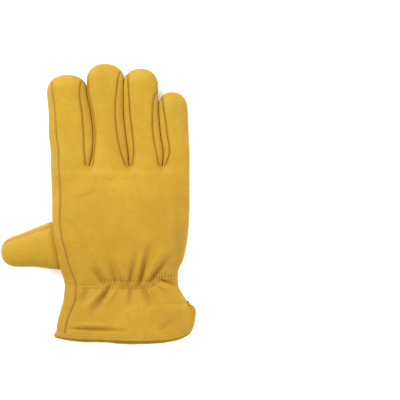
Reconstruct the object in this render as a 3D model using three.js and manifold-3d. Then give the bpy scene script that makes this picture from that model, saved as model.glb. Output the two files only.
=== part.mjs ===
import * as THREE from 'three';
import { mergeVertices } from 'three/addons/utils/BufferGeometryUtils.js';
import Module from 'manifold-3d';

const wasm = await Module();
wasm.setup();

// A right-hand leather gardening glove, in millimetres. It lies palm down on z = 0,
// its fingers point along +Y, its thumb to -X, and the origin is under the middle of the palm.

// Leather and fits
const leather = 1.3;
const bindingLeather = 1.0;
const seamGap = 0.3;
const fingerGap = 0.6;

// Fingers: widths where they part, lengths from there to the tip
const indexWidth = 35.2;
const middleWidth = 35.3;
const ringWidth = 29.5;
const littleWidth = 24.5;
const indexLength = 81.6;
const middleLength = 91.4;
const ringLength = 87.1;
const littleLength = 66.1;
const fingerHeight = 15.5;
const fingertipLength = 17;
const fingertipHeightLength = 13;
const fingerRootLength = 21.6;

// Hand: from where the fingers part to the gathered wrist
const handLength = 106.5;
const knuckleHeight = 17;
const palmHeight = 23;
const wristWidth = 101.5;
const wristShift = 1.0;
const wristHeight = 17;
const frontRounding = 9;
const soleSink = 1.6;

// Cuff: from the gathered wrist to the hem
const cuffLength = 53.9;
const cuffWidth = 126.5;
const cuffShift = 4.7;
const mouthHeight = 20;
const ventHeight = 11;

// Thumb
const thumbLength = 49.6;
const thumbWidth = 43.4;
const thumbHeight = 15;
const thumbPlace = 71.5;
const thumbRoot = 24;
const thumbTipLength = 13;
const thumbPatchReach = 28;
const thumbPatchWidth = 50;
const thumbPatchHeight = 7;

// Seams, binding and elastic
const edgeSeamHeight = 6.2;
const sideSeamInset = 7;
const fourchetteReveal = 7.5;
const crotchPatch = 2.6;
const bindingWidth = 4.3;
const hemReach = 12;
const elasticWidth = 10;
const elasticThickness = 1;
const elasticEndInset = 8;
const elasticSeamInset = 14.5;

// Folds that run from the gathered wrist
const foldDepth = 2.1;
const foldBreadth = 4.2;
const foldLength = 26;
const shirringStep = 6;

// How square each section is: powers of the curves over its crown and its sole,
// and of a round tip seen from above and from the side
const handCurve = { crown: 2.7, sole: 4 };
const fingerCurve = { crown: 2.3, sole: 3.2, tipPlan: 2.3, tipSide: 2 };
const thumbCurve = { crown: 2.1, sole: 3.2, tipPlan: 2.2, tipSide: 2 };

// Number of facets
const handTopFacets = 24;
const handSoleFacets = 6;
const fingerTopFacets = 8;
const fingerSoleFacets = 6;
const seamSteps = 20;
const hemSteps = 18;
const patchSteps = 14;
const elasticSteps = 12;

const fingers = [
  { width: indexWidth, length: indexLength },
  { width: middleWidth, length: middleLength },
  { width: ringWidth, length: ringLength },
  { width: littleWidth, length: littleLength },
];
const knuckleWidth = fingers.reduce((sum, finger) => sum + finger.width, 0);
const knuckleHalf = knuckleWidth / 2;
const wristHalf = wristWidth / 2;
const cuffHalf = cuffWidth / 2;
const crotchY = handLength / 2;
const wristY = -handLength / 2;
const edges = fingers.reduce((list, finger) => [...list, list.at(-1) + finger.width], [-knuckleHalf]);

// Sideways sway of the five lines that bound the fingers, as shares of the knuckle width,
// at shares of the middle finger's length
const fingerSway = [
  { along: 0.00, lines: [0, 0, 0, 0, 0] },
  { along: 0.13, lines: [0, 0.019, -0.008, 0.008, 0] },
  { along: 0.30, lines: [-0.014, 0.024, -0.025, -0.011, -0.006] },
  { along: 0.51, lines: [-0.017, 0.008, -0.041, -0.024, -0.012] },
  { along: 0.71, lines: [-0.028, -0.022, -0.043, -0.030, -0.015] },
  { along: 0.86, lines: [-0.028, -0.022, -0.041, -0.034, -0.015] },
];

// Hand: left and right say how far each edge has come in from the knuckles to the wrist.
// knuckle and wrist say how far the top has come down from the palm's height,
// and leftRise and rightRise at what share of the top the edge is widest.
const handTable = [
  { along: 0.00, left: 0.00, right: 0.00, knuckle: 1.00, wrist: 0.00, leftRise: 0.42, rightRise: 0.42 },
  { along: 0.12, left: 0.05, right: 0.00, knuckle: 0.75, wrist: 0.00, leftRise: 0.45, rightRise: 0.42 },
  { along: 0.25, left: 0.11, right: 0.00, knuckle: 0.40, wrist: 0.00, leftRise: 0.52, rightRise: 0.41 },
  { along: 0.42, left: 0.14, right: 0.02, knuckle: 0.10, wrist: 0.00, leftRise: 0.66, rightRise: 0.40 },
  { along: 0.60, left: 0.27, right: 0.16, knuckle: 0.00, wrist: 0.04, leftRise: 0.69, rightRise: 0.39 },
  { along: 0.70, left: 0.44, right: 0.32, knuckle: 0.00, wrist: 0.14, leftRise: 0.69, rightRise: 0.38 },
  { along: 0.80, left: 0.60, right: 0.58, knuckle: 0.00, wrist: 0.34, leftRise: 0.66, rightRise: 0.38 },
  { along: 0.87, left: 0.72, right: 0.92, knuckle: 0.00, wrist: 0.60, leftRise: 0.58, rightRise: 0.38 },
  { along: 0.93, left: 0.88, right: 1.00, knuckle: 0.00, wrist: 0.85, leftRise: 0.50, rightRise: 0.38 },
  { along: 1.00, left: 1.00, right: 0.98, knuckle: 0.00, wrist: 1.00, leftRise: 0.44, rightRise: 0.38 },
];

// Cuff: left and right say how far each edge has gone out from the wrist to the cuff's width,
// and mouth how far the top has risen. Past the vent the right edge lies outside the flaps.
const cuffTable = [
  { along: 0.07, left: 0.02, right: 0.08, mouth: 0.08, leftRise: 0.42, rightRise: 0.38 },
  { along: 0.13, left: 0.05, right: 0.20, mouth: 0.18, leftRise: 0.42, rightRise: 0.38 },
  { along: 0.20, left: 0.09, right: 0.34, mouth: 0.30, leftRise: 0.42, rightRise: 0.36 },
  { along: 0.27, left: 0.15, right: 0.50, mouth: 0.42, leftRise: 0.42, rightRise: 0.34 },
  { along: 0.32, left: 0.22, right: 0.60, mouth: 0.50, leftRise: 0.42, rightRise: 0.32 },
  { along: 0.37, left: 0.32, right: 1.05, mouth: 0.57, leftRise: 0.42, rightRise: 0.29 },
  { along: 0.43, left: 0.43, right: 1.40, mouth: 0.65, leftRise: 0.42, rightRise: 0.26 },
  { along: 0.60, left: 0.71, right: 1.55, mouth: 0.82, leftRise: 0.42, rightRise: 0.22 },
  { along: 0.80, left: 0.88, right: 1.55, mouth: 0.94, leftRise: 0.42, rightRise: 0.20 },
  { along: 1.00, left: 0.97, right: 1.50, mouth: 1.00, leftRise: 0.42, rightRise: 0.20 },
  { along: 1.25, left: 1.05, right: 1.50, mouth: 1.03, leftRise: 0.42, rightRise: 0.20 },
];

// Hem of the back and of the palm, from the vent to the index side, as shares of
// half the cuff's width and of its length
const hemTable = [
  { across: 0.900, back: 0.323, palm: 0.330 },
  { across: 0.950, back: 0.337, palm: 0.345 },
  { across: 0.990, back: 0.385, palm: 0.392 },
  { across: 1.000, back: 0.465, palm: 0.470 },
  { across: 0.980, back: 0.632, palm: 0.650 },
  { across: 0.935, back: 0.750, palm: 0.783 },
  { across: 0.850, back: 0.840, palm: 0.876 },
  { across: 0.730, back: 0.900, palm: 0.933 },
  { across: 0.540, back: 0.940, palm: 0.975 },
  { across: 0.100, back: 0.955, palm: 1.000 },
  { across: -0.310, back: 0.945, palm: 0.968 },
  { across: -0.670, back: 0.950, palm: 0.955 },
  { across: -0.930, back: 0.905, palm: 0.910 },
  { across: -1.010, back: 0.850, palm: 0.855 },
];

// Side seam on the index side, as a multiple of its inset from the left edge
const sideSeamTable = [
  { y: middleLength * 1.1 + crotchY, inset: 1.0 },
  { y: indexLength * 0.94 + crotchY, inset: 0.70 },
  { y: indexLength * 0.70 + crotchY, inset: 0.90 },
  { y: indexLength * 0.30 + crotchY, inset: 1.05 },
  { y: crotchY, inset: 1.12 },
  { y: crotchY - handLength * 0.30, inset: 1.10 },
  { y: crotchY - handLength * 0.50, inset: 0.98 },
  { y: crotchY - handLength * 0.75, inset: 1.15 },
  { y: wristY, inset: 1.50 },
  { y: wristY - cuffLength * 0.25, inset: 1.60 },
  { y: wristY - cuffLength * 0.50, inset: 1.35 },
  { y: wristY - cuffLength * 0.80, inset: 1.20 },
  { y: wristY - cuffLength * 1.20, inset: 1.10 },
];

// Part of a fourchette that shows beside each gap, along the shorter finger's length
const revealTable = [
  { along: -0.02, share: 0.36 },
  { along: 0.06, share: 0.62 },
  { along: 0.16, share: 0.88 },
  { along: 0.34, share: 1.00 },
  { along: 0.60, share: 0.92 },
  { along: 0.82, share: 0.70 },
  { along: 0.93, share: 0.50 },
];
const fourchettes = [
  { name: 'fourchette_index_middle', gap: 1, leftReveal: 1.10, rightReveal: 0.45 },
  { name: 'fourchette_middle_ring', gap: 2, leftReveal: 1.00, rightReveal: 0.82 },
  { name: 'fourchette_ring_little', gap: 3, leftReveal: 0.88, rightReveal: 0.80 },
];

// Thumb: its middle line and half width as shares of its width, from the hand's edge outwards.
// sunk is how far its underside lies inside the palm, as a share of its height.
const thumbTable = [
  { along: -0.60, middle: 0.00, half: 0.40, height: 0.80, sunk: 0.06 },
  { along: -0.20, middle: 0.00, half: 0.47, height: 0.93, sunk: 0.02 },
  { along: 0.00, middle: 0.00, half: 0.50, height: 0.96, sunk: 0.00 },
  { along: 0.20, middle: -0.02, half: 0.455, height: 1.00, sunk: 0.00 },
  { along: 0.37, middle: -0.036, half: 0.407, height: 1.00, sunk: 0.00 },
  { along: 0.64, middle: -0.098, half: 0.345, height: 0.97, sunk: 0.00 },
  { along: 0.81, middle: -0.124, half: 0.310, height: 0.93, sunk: 0.00 },
  { along: 1.00, middle: -0.130, half: 0.290, height: 0.90, sunk: 0.00 },
];

// Folds: across is a share of half the wrist, side is 1 above the gathers and -1 below,
// lean is sideways travel for each millimetre away from them, depth is negative for a valley
const foldTable = [
  { across: -0.62, side: 1, lean: -0.30, length: 0.6, depth: -0.5 },
  { across: -0.36, side: 1, lean: -0.80, length: 0.7, depth: -0.9 },
  { across: -0.20, side: 1, lean: -0.70, length: 1.2, depth: 0.8 },
  { across: -0.02, side: 1, lean: -0.15, length: 0.6, depth: -0.8 },
  { across: 0.15, side: 1, lean: 0.30, length: 1.0, depth: -1.0 },
  { across: 0.25, side: 1, lean: 0.35, length: 1.2, depth: 0.9 },
  { across: 0.34, side: 1, lean: 0.35, length: 1.3, depth: -0.9 },
  { across: 0.47, side: 1, lean: 0.62, length: 1.2, depth: 1.0 },
  { across: 0.60, side: 1, lean: 0.85, length: 1.0, depth: -1.0 },
  { across: -0.58, side: -1, lean: -0.10, length: 0.8, depth: -0.5 },
  { across: -0.22, side: -1, lean: -0.75, length: 0.9, depth: 0.9 },
  { across: 0.12, side: -1, lean: 0.05, length: 0.8, depth: -0.8 },
  { across: 0.42, side: -1, lean: 0.20, length: 0.6, depth: -0.5 },
  { across: 0.56, side: -1, lean: 0.85, length: 0.9, depth: 0.9 },
];

// Smooth value of a table's column, by a cubic through its rows
function glide(table, key, value, at) {
  const rows = table[0][key] < table.at(-1)[key] ? table : [...table].reverse();
  const last = rows.length - 1;
  const place = THREE.MathUtils.clamp(at, rows[0][key], rows[last][key]);
  let low = 0;
  while (low < last - 1 && rows[low + 1][key] < place) {
    low += 1;
  }
  const slope = (first, second) =>
    (rows[second][value] - rows[first][value]) / (rows[second][key] - rows[first][key]);
  const span = rows[low + 1][key] - rows[low][key];
  const share = (place - rows[low][key]) / span;
  const startSlope = slope(Math.max(low - 1, 0), low + 1);
  const endSlope = slope(low, Math.min(low + 2, last));
  const square = share * share;
  const cube = square * share;
  return rows[low][value] * (2 * cube - 3 * square + 1)
    + startSlope * span * (cube - 2 * square + share)
    + rows[low + 1][value] * (3 * square - 2 * cube)
    + endSlope * span * (cube - square);
}

const mix = THREE.MathUtils.lerp;
const smooth = THREE.MathUtils.smoothstep;

// Outline and heights of the hand and cuff in millimetres, a row for each section
const handOutline = [
  ...handTable.map((row) => ({
    ...row,
    y: crotchY - row.along * handLength,
    left: -mix(knuckleHalf, wristHalf - wristShift, row.left),
    right: mix(knuckleHalf, wristHalf + wristShift, row.right),
    top: palmHeight + row.knuckle * (knuckleHeight - palmHeight) + row.wrist * (wristHeight - palmHeight),
    droop: 0,
  })),
  ...cuffTable.map((row) => ({
    ...row,
    y: wristY - row.along * cuffLength,
    left: -mix(wristHalf - wristShift, cuffHalf - cuffShift, row.left),
    right: mix(wristHalf + wristShift, cuffHalf + cuffShift, row.right),
    top: mix(wristHeight, mouthHeight, row.mouth),
    droop: row.mouth * (1 - ventHeight / mouthHeight),
  })),
];
const outlineAt = (y, column) => glide(handOutline, 'y', column, y);

const swayTables = edges.map((edge, line) => fingerSway.map((row) => ({
  y: crotchY + row.along * middleLength,
  x: edge + row.lines[line] * knuckleWidth,
})));
const boundaryAt = (line, y) => glide(swayTables[line], 'y', 'x', y);

// Left silhouette from the fingertip to the hem
const leftEdgeAt = (y) => (y > crotchY ? boundaryAt(0, y) : outlineAt(y, 'left'));
const sideSeamAt = (y) => leftEdgeAt(y) + sideSeamInset * glide(sideSeamTable, 'y', 'inset', y);

// The gathers step towards the fingers on the little-finger side
const shirringAt = (x) => wristY + shirringStep * smooth(x, wristHalf * 0.5, wristHalf * 0.85);

function foldAt(x, y) {
  const away = y - shirringAt(x);
  return foldTable.reduce((sum, fold) => {
    const travel = away * fold.side / (foldLength * fold.length);
    if (travel < 0 || travel > 1) {
      return sum;
    }
    const middle = wristShift + fold.across * wristHalf + fold.lean * Math.abs(away);
    const breadth = foldBreadth * (1 + 0.6 * travel);
    const rise = Math.min(1, 0.5 + travel * 4) * (1 - travel * travel);
    return sum + foldDepth * fold.depth * rise * Math.exp(-(((x - middle) / breadth) ** 2));
  }, 0);
}

// The cuff's underside is lifted by the binding that runs under it
const floorLift = (y) => (seamGap + bindingLeather) * smooth(wristY - y, 0, cuffLength * 0.30);

// Height of a section's crown at a share of its half width, between its two widest points
const widestAt = ({ leftRise, rightRise }, share) => mix(leftRise, rightRise, (share + 1) / 2);
function crownAt(shape, share) {
  const level = widestAt(shape, share);
  const arch = (1 - Math.abs(share) ** shape.crown) ** (1 / shape.crown);
  const drooped = shape.top * (1 - (shape.droop ?? 0) * Math.max(0, (share + 0.1) / 1.1) ** 2);
  const x = mix(shape.left, shape.right, (share + 1) / 2);
  const relief = shape.relief ? shape.relief(x, shape.y) : 0;
  return level + Math.max(drooped - level, 0) * arch + relief * arch;
}

// One closed section in the plane of constant y: the crown, then the sole. The sole's curve would
// go below the floor by soleSink, so it is cut off flat where it lies.
function section(shape) {
  const { y, left, right, bottom, sole, topFacets, soleFacets } = shape;
  const half = (right - left) / 2;
  const centre = (right + left) / 2;
  const ring = [];
  for (let step = 0; step < topFacets; step += 1) {
    const share = Math.cos(Math.PI * step / topFacets);
    ring.push([centre + half * share, y, crownAt(shape, share)]);
  }
  for (let step = 0; step < soleFacets; step += 1) {
    const angle = Math.PI * step / soleFacets;
    const share = -Math.sign(Math.cos(angle)) * Math.abs(Math.cos(angle)) ** (2 / sole);
    const level = widestAt(shape, share);
    const depth = Math.sin(angle) ** (2 / sole) * (level - bottom + soleSink);
    ring.push([centre + half * share, y, Math.max(bottom, level - depth)]);
  }
  return ring;
}

// Closed mesh, with the vertices it shares merged, as a solid that can be cut
function solid(geometry) {
  const bare = new THREE.BufferGeometry();
  bare.setAttribute('position', geometry.getAttribute('position').clone());
  bare.setIndex(geometry.getIndex());
  const merged = mergeVertices(bare, 1e-4);
  return new wasm.Manifold(new wasm.Mesh({
    numProp: 3,
    vertProperties: Float32Array.from(merged.getAttribute('position').array),
    triVerts: Uint32Array.from(merged.getIndex().array),
  }));
}

// Closed skin through sections of equal count, with a point at each end
function loft(rings, start, end) {
  const count = rings[0].length;
  const points = [start, ...rings.flat(), end];
  const at = (ring, place) => 1 + ring * count + place % count;
  const faces = [];
  for (let place = 0; place < count; place += 1) {
    faces.push(0, at(0, place), at(0, place + 1));
    faces.push(points.length - 1, at(rings.length - 1, place + 1), at(rings.length - 1, place));
    for (let ring = 0; ring < rings.length - 1; ring += 1) {
      faces.push(at(ring, place), at(ring + 1, place), at(ring + 1, place + 1));
      faces.push(at(ring, place), at(ring + 1, place + 1), at(ring, place + 1));
    }
  }
  const skin = new THREE.BufferGeometry();
  skin.setAttribute('position', new THREE.Float32BufferAttribute(points.flat(), 3));
  skin.setIndex(faces);
  return solid(skin);
}

// Upright prism over an outline in plan
function prism(outline, bottom, top) {
  const shape = new THREE.Shape(outline.map(([x, y]) => new THREE.Vector2(x, y)));
  const body = new THREE.ExtrudeGeometry(shape, { depth: top - bottom, bevelEnabled: false });
  body.translate(0, 0, bottom);
  body.deleteAttribute('normal');
  body.deleteAttribute('uv');
  return solid(mergeVertices(body, 1e-4));
}

// Stations of the hand and cuff, denser where the wrist is gathered
function handStations(front, back) {
  const list = [];
  const spread = (from, to, count) => {
    for (let step = 0; step < count; step += 1) {
      list.push(mix(from, to, step / count));
    }
  };
  const hemY = wristY - cuffLength;
  const ventY = wristY - cuffLength * 0.32;
  spread(back, hemY, 1);
  spread(hemY, ventY - cuffLength * 0.11, 3);
  spread(ventY - cuffLength * 0.11, ventY, 2);
  spread(ventY, wristY, 3);
  spread(wristY, wristY + foldLength * 1.3, 6);
  spread(wristY + foldLength * 1.3, front - frontRounding, 3);
  list.push(...[1, 0.55, 0.22, 0].map((share) => front - frontRounding * share));
  return list;
}

// Section of the hand or cuff at y, grown by offset, or shrunk if it is negative
function handShape(y, offset) {
  const nose = THREE.MathUtils.clamp((y - crotchY - offset) / frontRounding + 1, 0, 1);
  const drop = Math.sqrt(1 - 0.7 * nose * nose);
  const narrow = seamGap * 3 * nose * nose;
  const top = outlineAt(y, 'top');
  return {
    y,
    left: outlineAt(y, 'left') - offset + narrow,
    right: outlineAt(y, 'right') + offset - narrow,
    top: top * drop + offset,
    bottom: floorLift(y) - offset,
    leftRise: outlineAt(y, 'leftRise') * top * drop,
    rightRise: outlineAt(y, 'rightRise') * top * drop,
    droop: outlineAt(y, 'droop'),
    ...handCurve,
    topFacets: handTopFacets,
    soleFacets: handSoleFacets,
    relief: foldAt,
  };
}

function handForm(offset, stations) {
  const rings = stations.map((y) => section(handShape(y, offset)));
  const middle = (y) => [0, y, outlineAt(y, 'top') * 0.4];
  return loft(rings, middle(stations[0]), middle(stations.at(-1)));
}

const wholeHand = (offset) => handForm(
  offset,
  handStations(crotchY + offset, wristY - cuffLength - hemReach + offset),
);

// How far a round tip has closed, at a distance from its end
const tipRound = (distance, length, power) => {
  const share = 1 - THREE.MathUtils.clamp(distance / length, 0, 1);
  return (1 - share ** power) ** (1 / power);
};
const tipShares = [1, 0.52, 0.2, 0.04];

// Height of the hand's back over the middle of a finger, just behind where the fingers part
function knuckleTop(index) {
  const shape = handShape(crotchY - frontRounding, 0);
  const middle = (edges[index] + edges[index + 1]) / 2;
  return crownAt(shape, (middle * 2 - shape.left - shape.right) / (shape.right - shape.left));
}

function fingerForm(index, offset) {
  const { length } = fingers[index];
  const rootTop = knuckleTop(index);
  const tipY = crotchY + length + offset;
  const tipStart = tipY - fingertipLength;
  const stations = [
    crotchY - fingerRootLength,
    crotchY - frontRounding,
    crotchY + length * 0.08,
    crotchY + length * 0.28,
    mix(crotchY + length * 0.28, tipStart, 0.5),
    ...tipShares.map((share) => tipY - fingertipLength * share),
  ];
  const rings = stations.map((y) => {
    const wide = tipRound(tipY - y, fingertipLength, fingerCurve.tipPlan);
    const high = tipRound(tipY - y, fingertipHeightLength, fingerCurve.tipSide);
    const rooted = smooth(crotchY - y, 0, fingerRootLength);
    const knuckle = smooth(crotchY - y, -length * 0.35, frontRounding);
    const sunk = smooth(crotchY - y, frontRounding, fingerRootLength);
    const left = boundaryAt(index, Math.max(y, crotchY)) + fingerGap / 2 - offset;
    const right = boundaryAt(index + 1, Math.max(y, crotchY)) - fingerGap / 2 + offset;
    const centre = (left + right) / 2;
    const half = ((right - left) / 2) * wide * (1 - 0.12 * rooted);
    const bodyTop = mix(fingerHeight, rootTop + seamGap, knuckle) - rootTop * 0.2 * sunk;
    const top = bodyTop * mix(0.5, 1, high) + offset;
    return section({
      y,
      left: centre - half,
      right: centre + half,
      top,
      bottom: -offset,
      leftRise: fingerHeight * 0.46,
      rightRise: fingerHeight * 0.46,
      ...fingerCurve,
      topFacets: fingerTopFacets,
      soleFacets: fingerSoleFacets,
    });
  });
  const middleX = (y) => (boundaryAt(index, y) + boundaryAt(index + 1, y)) / 2;
  const level = fingerHeight * 0.42;
  return loft(
    rings,
    [middleX(crotchY), stations[0], level],
    [middleX(tipY), tipY, level],
  );
}

// The thumb is lofted along +Y and then turned to point along -X
const thumbY = crotchY - thumbPlace;
const thumbEdgeX = outlineAt(thumbY, 'left');
function thumbForm(offset) {
  const tip = thumbLength + offset;
  const stations = [
    -thumbRoot,
    0,
    thumbLength * 0.22,
    thumbLength * 0.5,
    ...tipShares.map((share) => tip - thumbTipLength * share),
  ];
  const rings = stations.map((out) => {
    const at = (column) => glide(thumbTable, 'along', column, out / thumbLength);
    const wide = tipRound(tip - out, thumbTipLength, thumbCurve.tipPlan);
    const high = tipRound(tip - out, thumbTipLength, thumbCurve.tipSide);
    const middle = at('middle') * thumbWidth;
    const half = (at('half') * thumbWidth + offset) * wide;
    return section({
      y: out,
      left: middle - half,
      right: middle + half,
      top: thumbHeight * at('height') * mix(0.5, 1, high) + offset,
      bottom: thumbHeight * at('sunk') - offset,
      leftRise: thumbHeight * 0.42,
      rightRise: thumbHeight * 0.42,
      ...thumbCurve,
      topFacets: fingerTopFacets,
      soleFacets: fingerSoleFacets,
    });
  });
  const level = thumbHeight * 0.4;
  const tipMiddle = thumbTable.at(-1).middle * thumbWidth;
  return loft(rings, [0, stations[0], level], [tipMiddle, tip, level])
    .rotate([0, 0, 90])
    .translate([thumbEdgeX, thumbY, 0]);
}

const joined = (forms) => forms.reduce((whole, form) => whole.add(form));
const gloveForm = (offset) => joined([
  wholeHand(offset),
  ...fingers.map((finger, index) => fingerForm(index, offset)),
]);

const farAway = 300;
const skyHigh = 60;
const underFloor = -20;

// Plan of what lies on the back's side of the side seam, moved by shift
function backPlan(shift) {
  const top = sideSeamTable[0].y;
  const bottom = sideSeamTable.at(-1).y;
  const seam = [];
  for (let step = 0; step <= seamSteps; step += 1) {
    const y = mix(top, bottom, step / seamSteps);
    seam.push([sideSeamAt(y) + shift, y]);
  }
  return [[farAway, bottom], [farAway, top], ...seam];
}

// Plan of a fourchette, which runs up both sides of a gap between fingers
function fourchettePlan({ gap, leftReveal, rightReveal }, grown) {
  const length = Math.min(fingers[gap - 1].length, fingers[gap].length);
  const line = (side, reveal) => revealTable.map(({ along, share }) => {
    const y = crotchY + along * length;
    const reach = Math.max(fourchetteReveal * reveal * share, crotchPatch);
    return [boundaryAt(gap, y) + side * (reach + grown), y];
  });
  const leftSide = line(-1, leftReveal);
  const rightSide = line(1, rightReveal);
  const tipLeft = [leftSide.at(-1)[0] + fourchetteReveal * 0.25, crotchY + length * 1.02];
  const tipRight = [rightSide.at(-1)[0], crotchY + length * 1.02];
  const outerTip = [boundaryAt(gap, crotchY + length), crotchY + length * 1.2];
  const root = [boundaryAt(gap, crotchY), leftSide[0][1] - crotchPatch - grown];
  return [root, ...rightSide, tipRight, outerTip, tipLeft, ...leftSide.reverse()];
}

// Plan of the thumb's patch, set into the palm
function thumbPatchPlan(grown) {
  const reach = thumbPatchReach + grown;
  const half = thumbPatchWidth / 2 + grown;
  const outline = [[thumbEdgeX - thumbLength, thumbY - half], [thumbEdgeX, thumbY - half]];
  for (let step = 1; step < patchSteps; step += 1) {
    const angle = -Math.PI / 2 + Math.PI * step / patchSteps;
    outline.push([thumbEdgeX + reach * Math.cos(angle) ** 0.8, thumbY + half * Math.sin(angle)]);
  }
  return [...outline, [thumbEdgeX, thumbY + half], [thumbEdgeX - thumbLength, thumbY + half]];
}

// Plan of the glove up to one hem, with that hem drawn in by inset
function hemPlan(column, inset) {
  const points = hemTable.map((row) => new THREE.Vector2(
    cuffShift + row.across * cuffHalf,
    wristY - row[column] * cuffLength,
  ));
  const curve = new THREE.SplineCurve(points);
  const hem = [];
  for (let step = 0; step <= hemSteps; step += 1) {
    const place = curve.getPointAt(step / hemSteps);
    const along = curve.getTangentAt(step / hemSteps);
    hem.push([place.x + along.y * inset, place.y - along.x * inset]);
  }
  const [startX, startY] = hem[0];
  const [, endY] = hem.at(-1);
  return [
    [-farAway, endY],
    [-farAway, farAway],
    [farAway, farAway],
    [farAway, startY + inset + frontRounding],
    [startX + frontRounding, startY + inset + frontRounding / 2],
    ...hem,
  ];
}

// What lies inside both hems: the back's above the edge seam, the palm's below it
const insideHem = (inset) => joined([
  prism(hemPlan('back', inset), edgeSeamHeight, skyHigh),
  prism(hemPlan('palm', inset), underFloor, edgeSeamHeight),
]);

const outerForm = gloveForm(0);
const innerForm = gloveForm(-leather);
const outerThumb = thumbForm(0);
const innerThumb = thumbForm(-leather);
const panelHem = insideHem(bindingLeather + seamGap);
const shell = outerForm.add(outerThumb).subtract(innerForm.add(innerThumb)).intersect(panelHem);

const thumbPatch = prism(thumbPatchPlan(0), underFloor, thumbPatchHeight);
const thumbCut = prism(thumbPatchPlan(seamGap), underFloor, thumbPatchHeight + seamGap);
const clearForm = gloveForm(seamGap);
const thumbPiece = joined([
  outerThumb.subtract(innerThumb).subtract(clearForm),
  shell.intersect(thumbPatch),
]);
const handShell = shell.intersect(outerForm).subtract(thumbCut);

const fourchettePieces = fourchettes.map((row) => ({
  name: row.name,
  body: handShell.intersect(prism(fourchettePlan(row, 0), underFloor, skyHigh)),
}));
const fourchetteCuts = joined(
  fourchettes.map((row) => prism(fourchettePlan(row, seamGap), underFloor, skyHigh)),
);
const panels = handShell.subtract(fourchetteCuts);
const backPiece = panels.intersect(prism(backPlan(seamGap), edgeSeamHeight + seamGap, skyHigh));
const palmPiece = panels.subtract(prism(backPlan(0), edgeSeamHeight, skyHigh));

// The binding folds over the raw edge of both panels
function bindingBody() {
  const hemBand = insideHem(0).subtract(insideHem(bindingWidth));
  const outside = wholeHand(seamGap + bindingLeather);
  const inside = wholeHand(-leather - seamGap - bindingLeather);
  const slot = wholeHand(seamGap).subtract(wholeHand(-leather - seamGap)).intersect(insideHem(bindingLeather));
  return outside.subtract(inside).intersect(hemBand).subtract(slot);
}

// Flat elastic behind the gathers, inside the back
function elasticBody() {
  const start = outlineAt(wristY, 'left') + elasticSeamInset;
  const end = outlineAt(wristY, 'right') - elasticEndInset;
  const line = [];
  for (let step = 0; step <= elasticSteps; step += 1) {
    const x = mix(start, end, step / elasticSteps);
    line.push([x, shirringAt(x)]);
  }
  const plan = [
    ...line.map(([x, y]) => [x, y - elasticWidth / 2]),
    ...line.reverse().map(([x, y]) => [x, y + elasticWidth / 2]),
  ];
  return wholeHand(-leather - seamGap)
    .subtract(wholeHand(-leather - seamGap - elasticThickness))
    .intersect(prism(plan, edgeSeamHeight + leather, skyHigh));
}

// Finishes
const leatherFinish = (colour) => new THREE.MeshStandardMaterial({ color: colour, roughness: 0.62, metalness: 0 });
const goldenLeather = leatherFinish('#d8aa3c');
const sideLeather = leatherFinish('#d0a038');
const bindingFinish = leatherFinish('#c99a38');
const elasticFinish = new THREE.MeshStandardMaterial({ color: '#efe6cf', roughness: 0.85, metalness: 0 });

function piece(name, body, finish) {
  const { vertProperties, triVerts } = body.getMesh();
  const geometry = new THREE.BufferGeometry();
  geometry.setAttribute('position', new THREE.BufferAttribute(Float32Array.from(vertProperties), 3));
  geometry.setIndex(new THREE.BufferAttribute(Uint32Array.from(triVerts), 1));
  geometry.computeVertexNormals();
  const mesh = new THREE.Mesh(geometry, finish);
  mesh.name = name;
  return mesh;
}

const glove = new THREE.Group();
glove.add(piece('back_panel', backPiece, goldenLeather));
glove.add(piece('palm_panel', palmPiece, goldenLeather));
for (const { name, body } of fourchettePieces) {
  glove.add(piece(name, body, sideLeather));
}
glove.add(piece('thumb', thumbPiece, goldenLeather));
glove.add(piece('cuff_binding', bindingBody(), bindingFinish));
glove.add(piece('wrist_elastic', elasticBody(), elasticFinish));

export default glove;
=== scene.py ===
import functools
import math

import bmesh
import bpy
from mathutils import Matrix, Vector, noise


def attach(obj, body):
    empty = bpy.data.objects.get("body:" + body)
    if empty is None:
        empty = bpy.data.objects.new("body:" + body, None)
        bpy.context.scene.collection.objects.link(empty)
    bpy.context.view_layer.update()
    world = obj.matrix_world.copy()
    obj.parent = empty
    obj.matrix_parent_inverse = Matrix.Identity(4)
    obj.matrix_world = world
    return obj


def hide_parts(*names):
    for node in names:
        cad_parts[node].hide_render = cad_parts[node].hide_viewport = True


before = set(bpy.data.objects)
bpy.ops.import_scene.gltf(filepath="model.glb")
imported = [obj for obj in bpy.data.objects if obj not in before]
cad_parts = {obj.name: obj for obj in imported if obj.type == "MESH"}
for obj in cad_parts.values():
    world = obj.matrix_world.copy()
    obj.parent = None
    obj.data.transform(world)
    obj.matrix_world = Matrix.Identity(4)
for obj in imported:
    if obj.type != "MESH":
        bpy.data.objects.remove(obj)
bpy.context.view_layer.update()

bl_info = {
    "name": "Leather gardening glove",
    "version": (1, 0, 0),
    "blender": (4, 5, 0),
    "location": "View3D > Sidebar > Glove",
    "description": "Sewn leather glove that lies with its back up",
    "category": "Add Mesh",
}

MM = 0.001


def table(columns, *rows):
    """Rows of a table, each a dictionary by the names of the columns."""
    names = columns.split()
    return [dict(zip(names, row)) for row in rows]


# Sideways sway of the five lines that bound the fingers, as shares of the knuckle width,
# at shares of the middle finger's length
FINGER_SWAY = table(
    "along lines",
    (0.00, (0, 0, 0, 0, 0)),
    (0.13, (0, 0.019, -0.008, 0.008, 0)),
    (0.30, (-0.014, 0.024, -0.025, -0.011, -0.006)),
    (0.51, (-0.017, 0.008, -0.041, -0.024, -0.012)),
    (0.71, (-0.028, -0.022, -0.043, -0.030, -0.015)),
    (0.86, (-0.028, -0.022, -0.041, -0.034, -0.015)),
)

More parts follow.
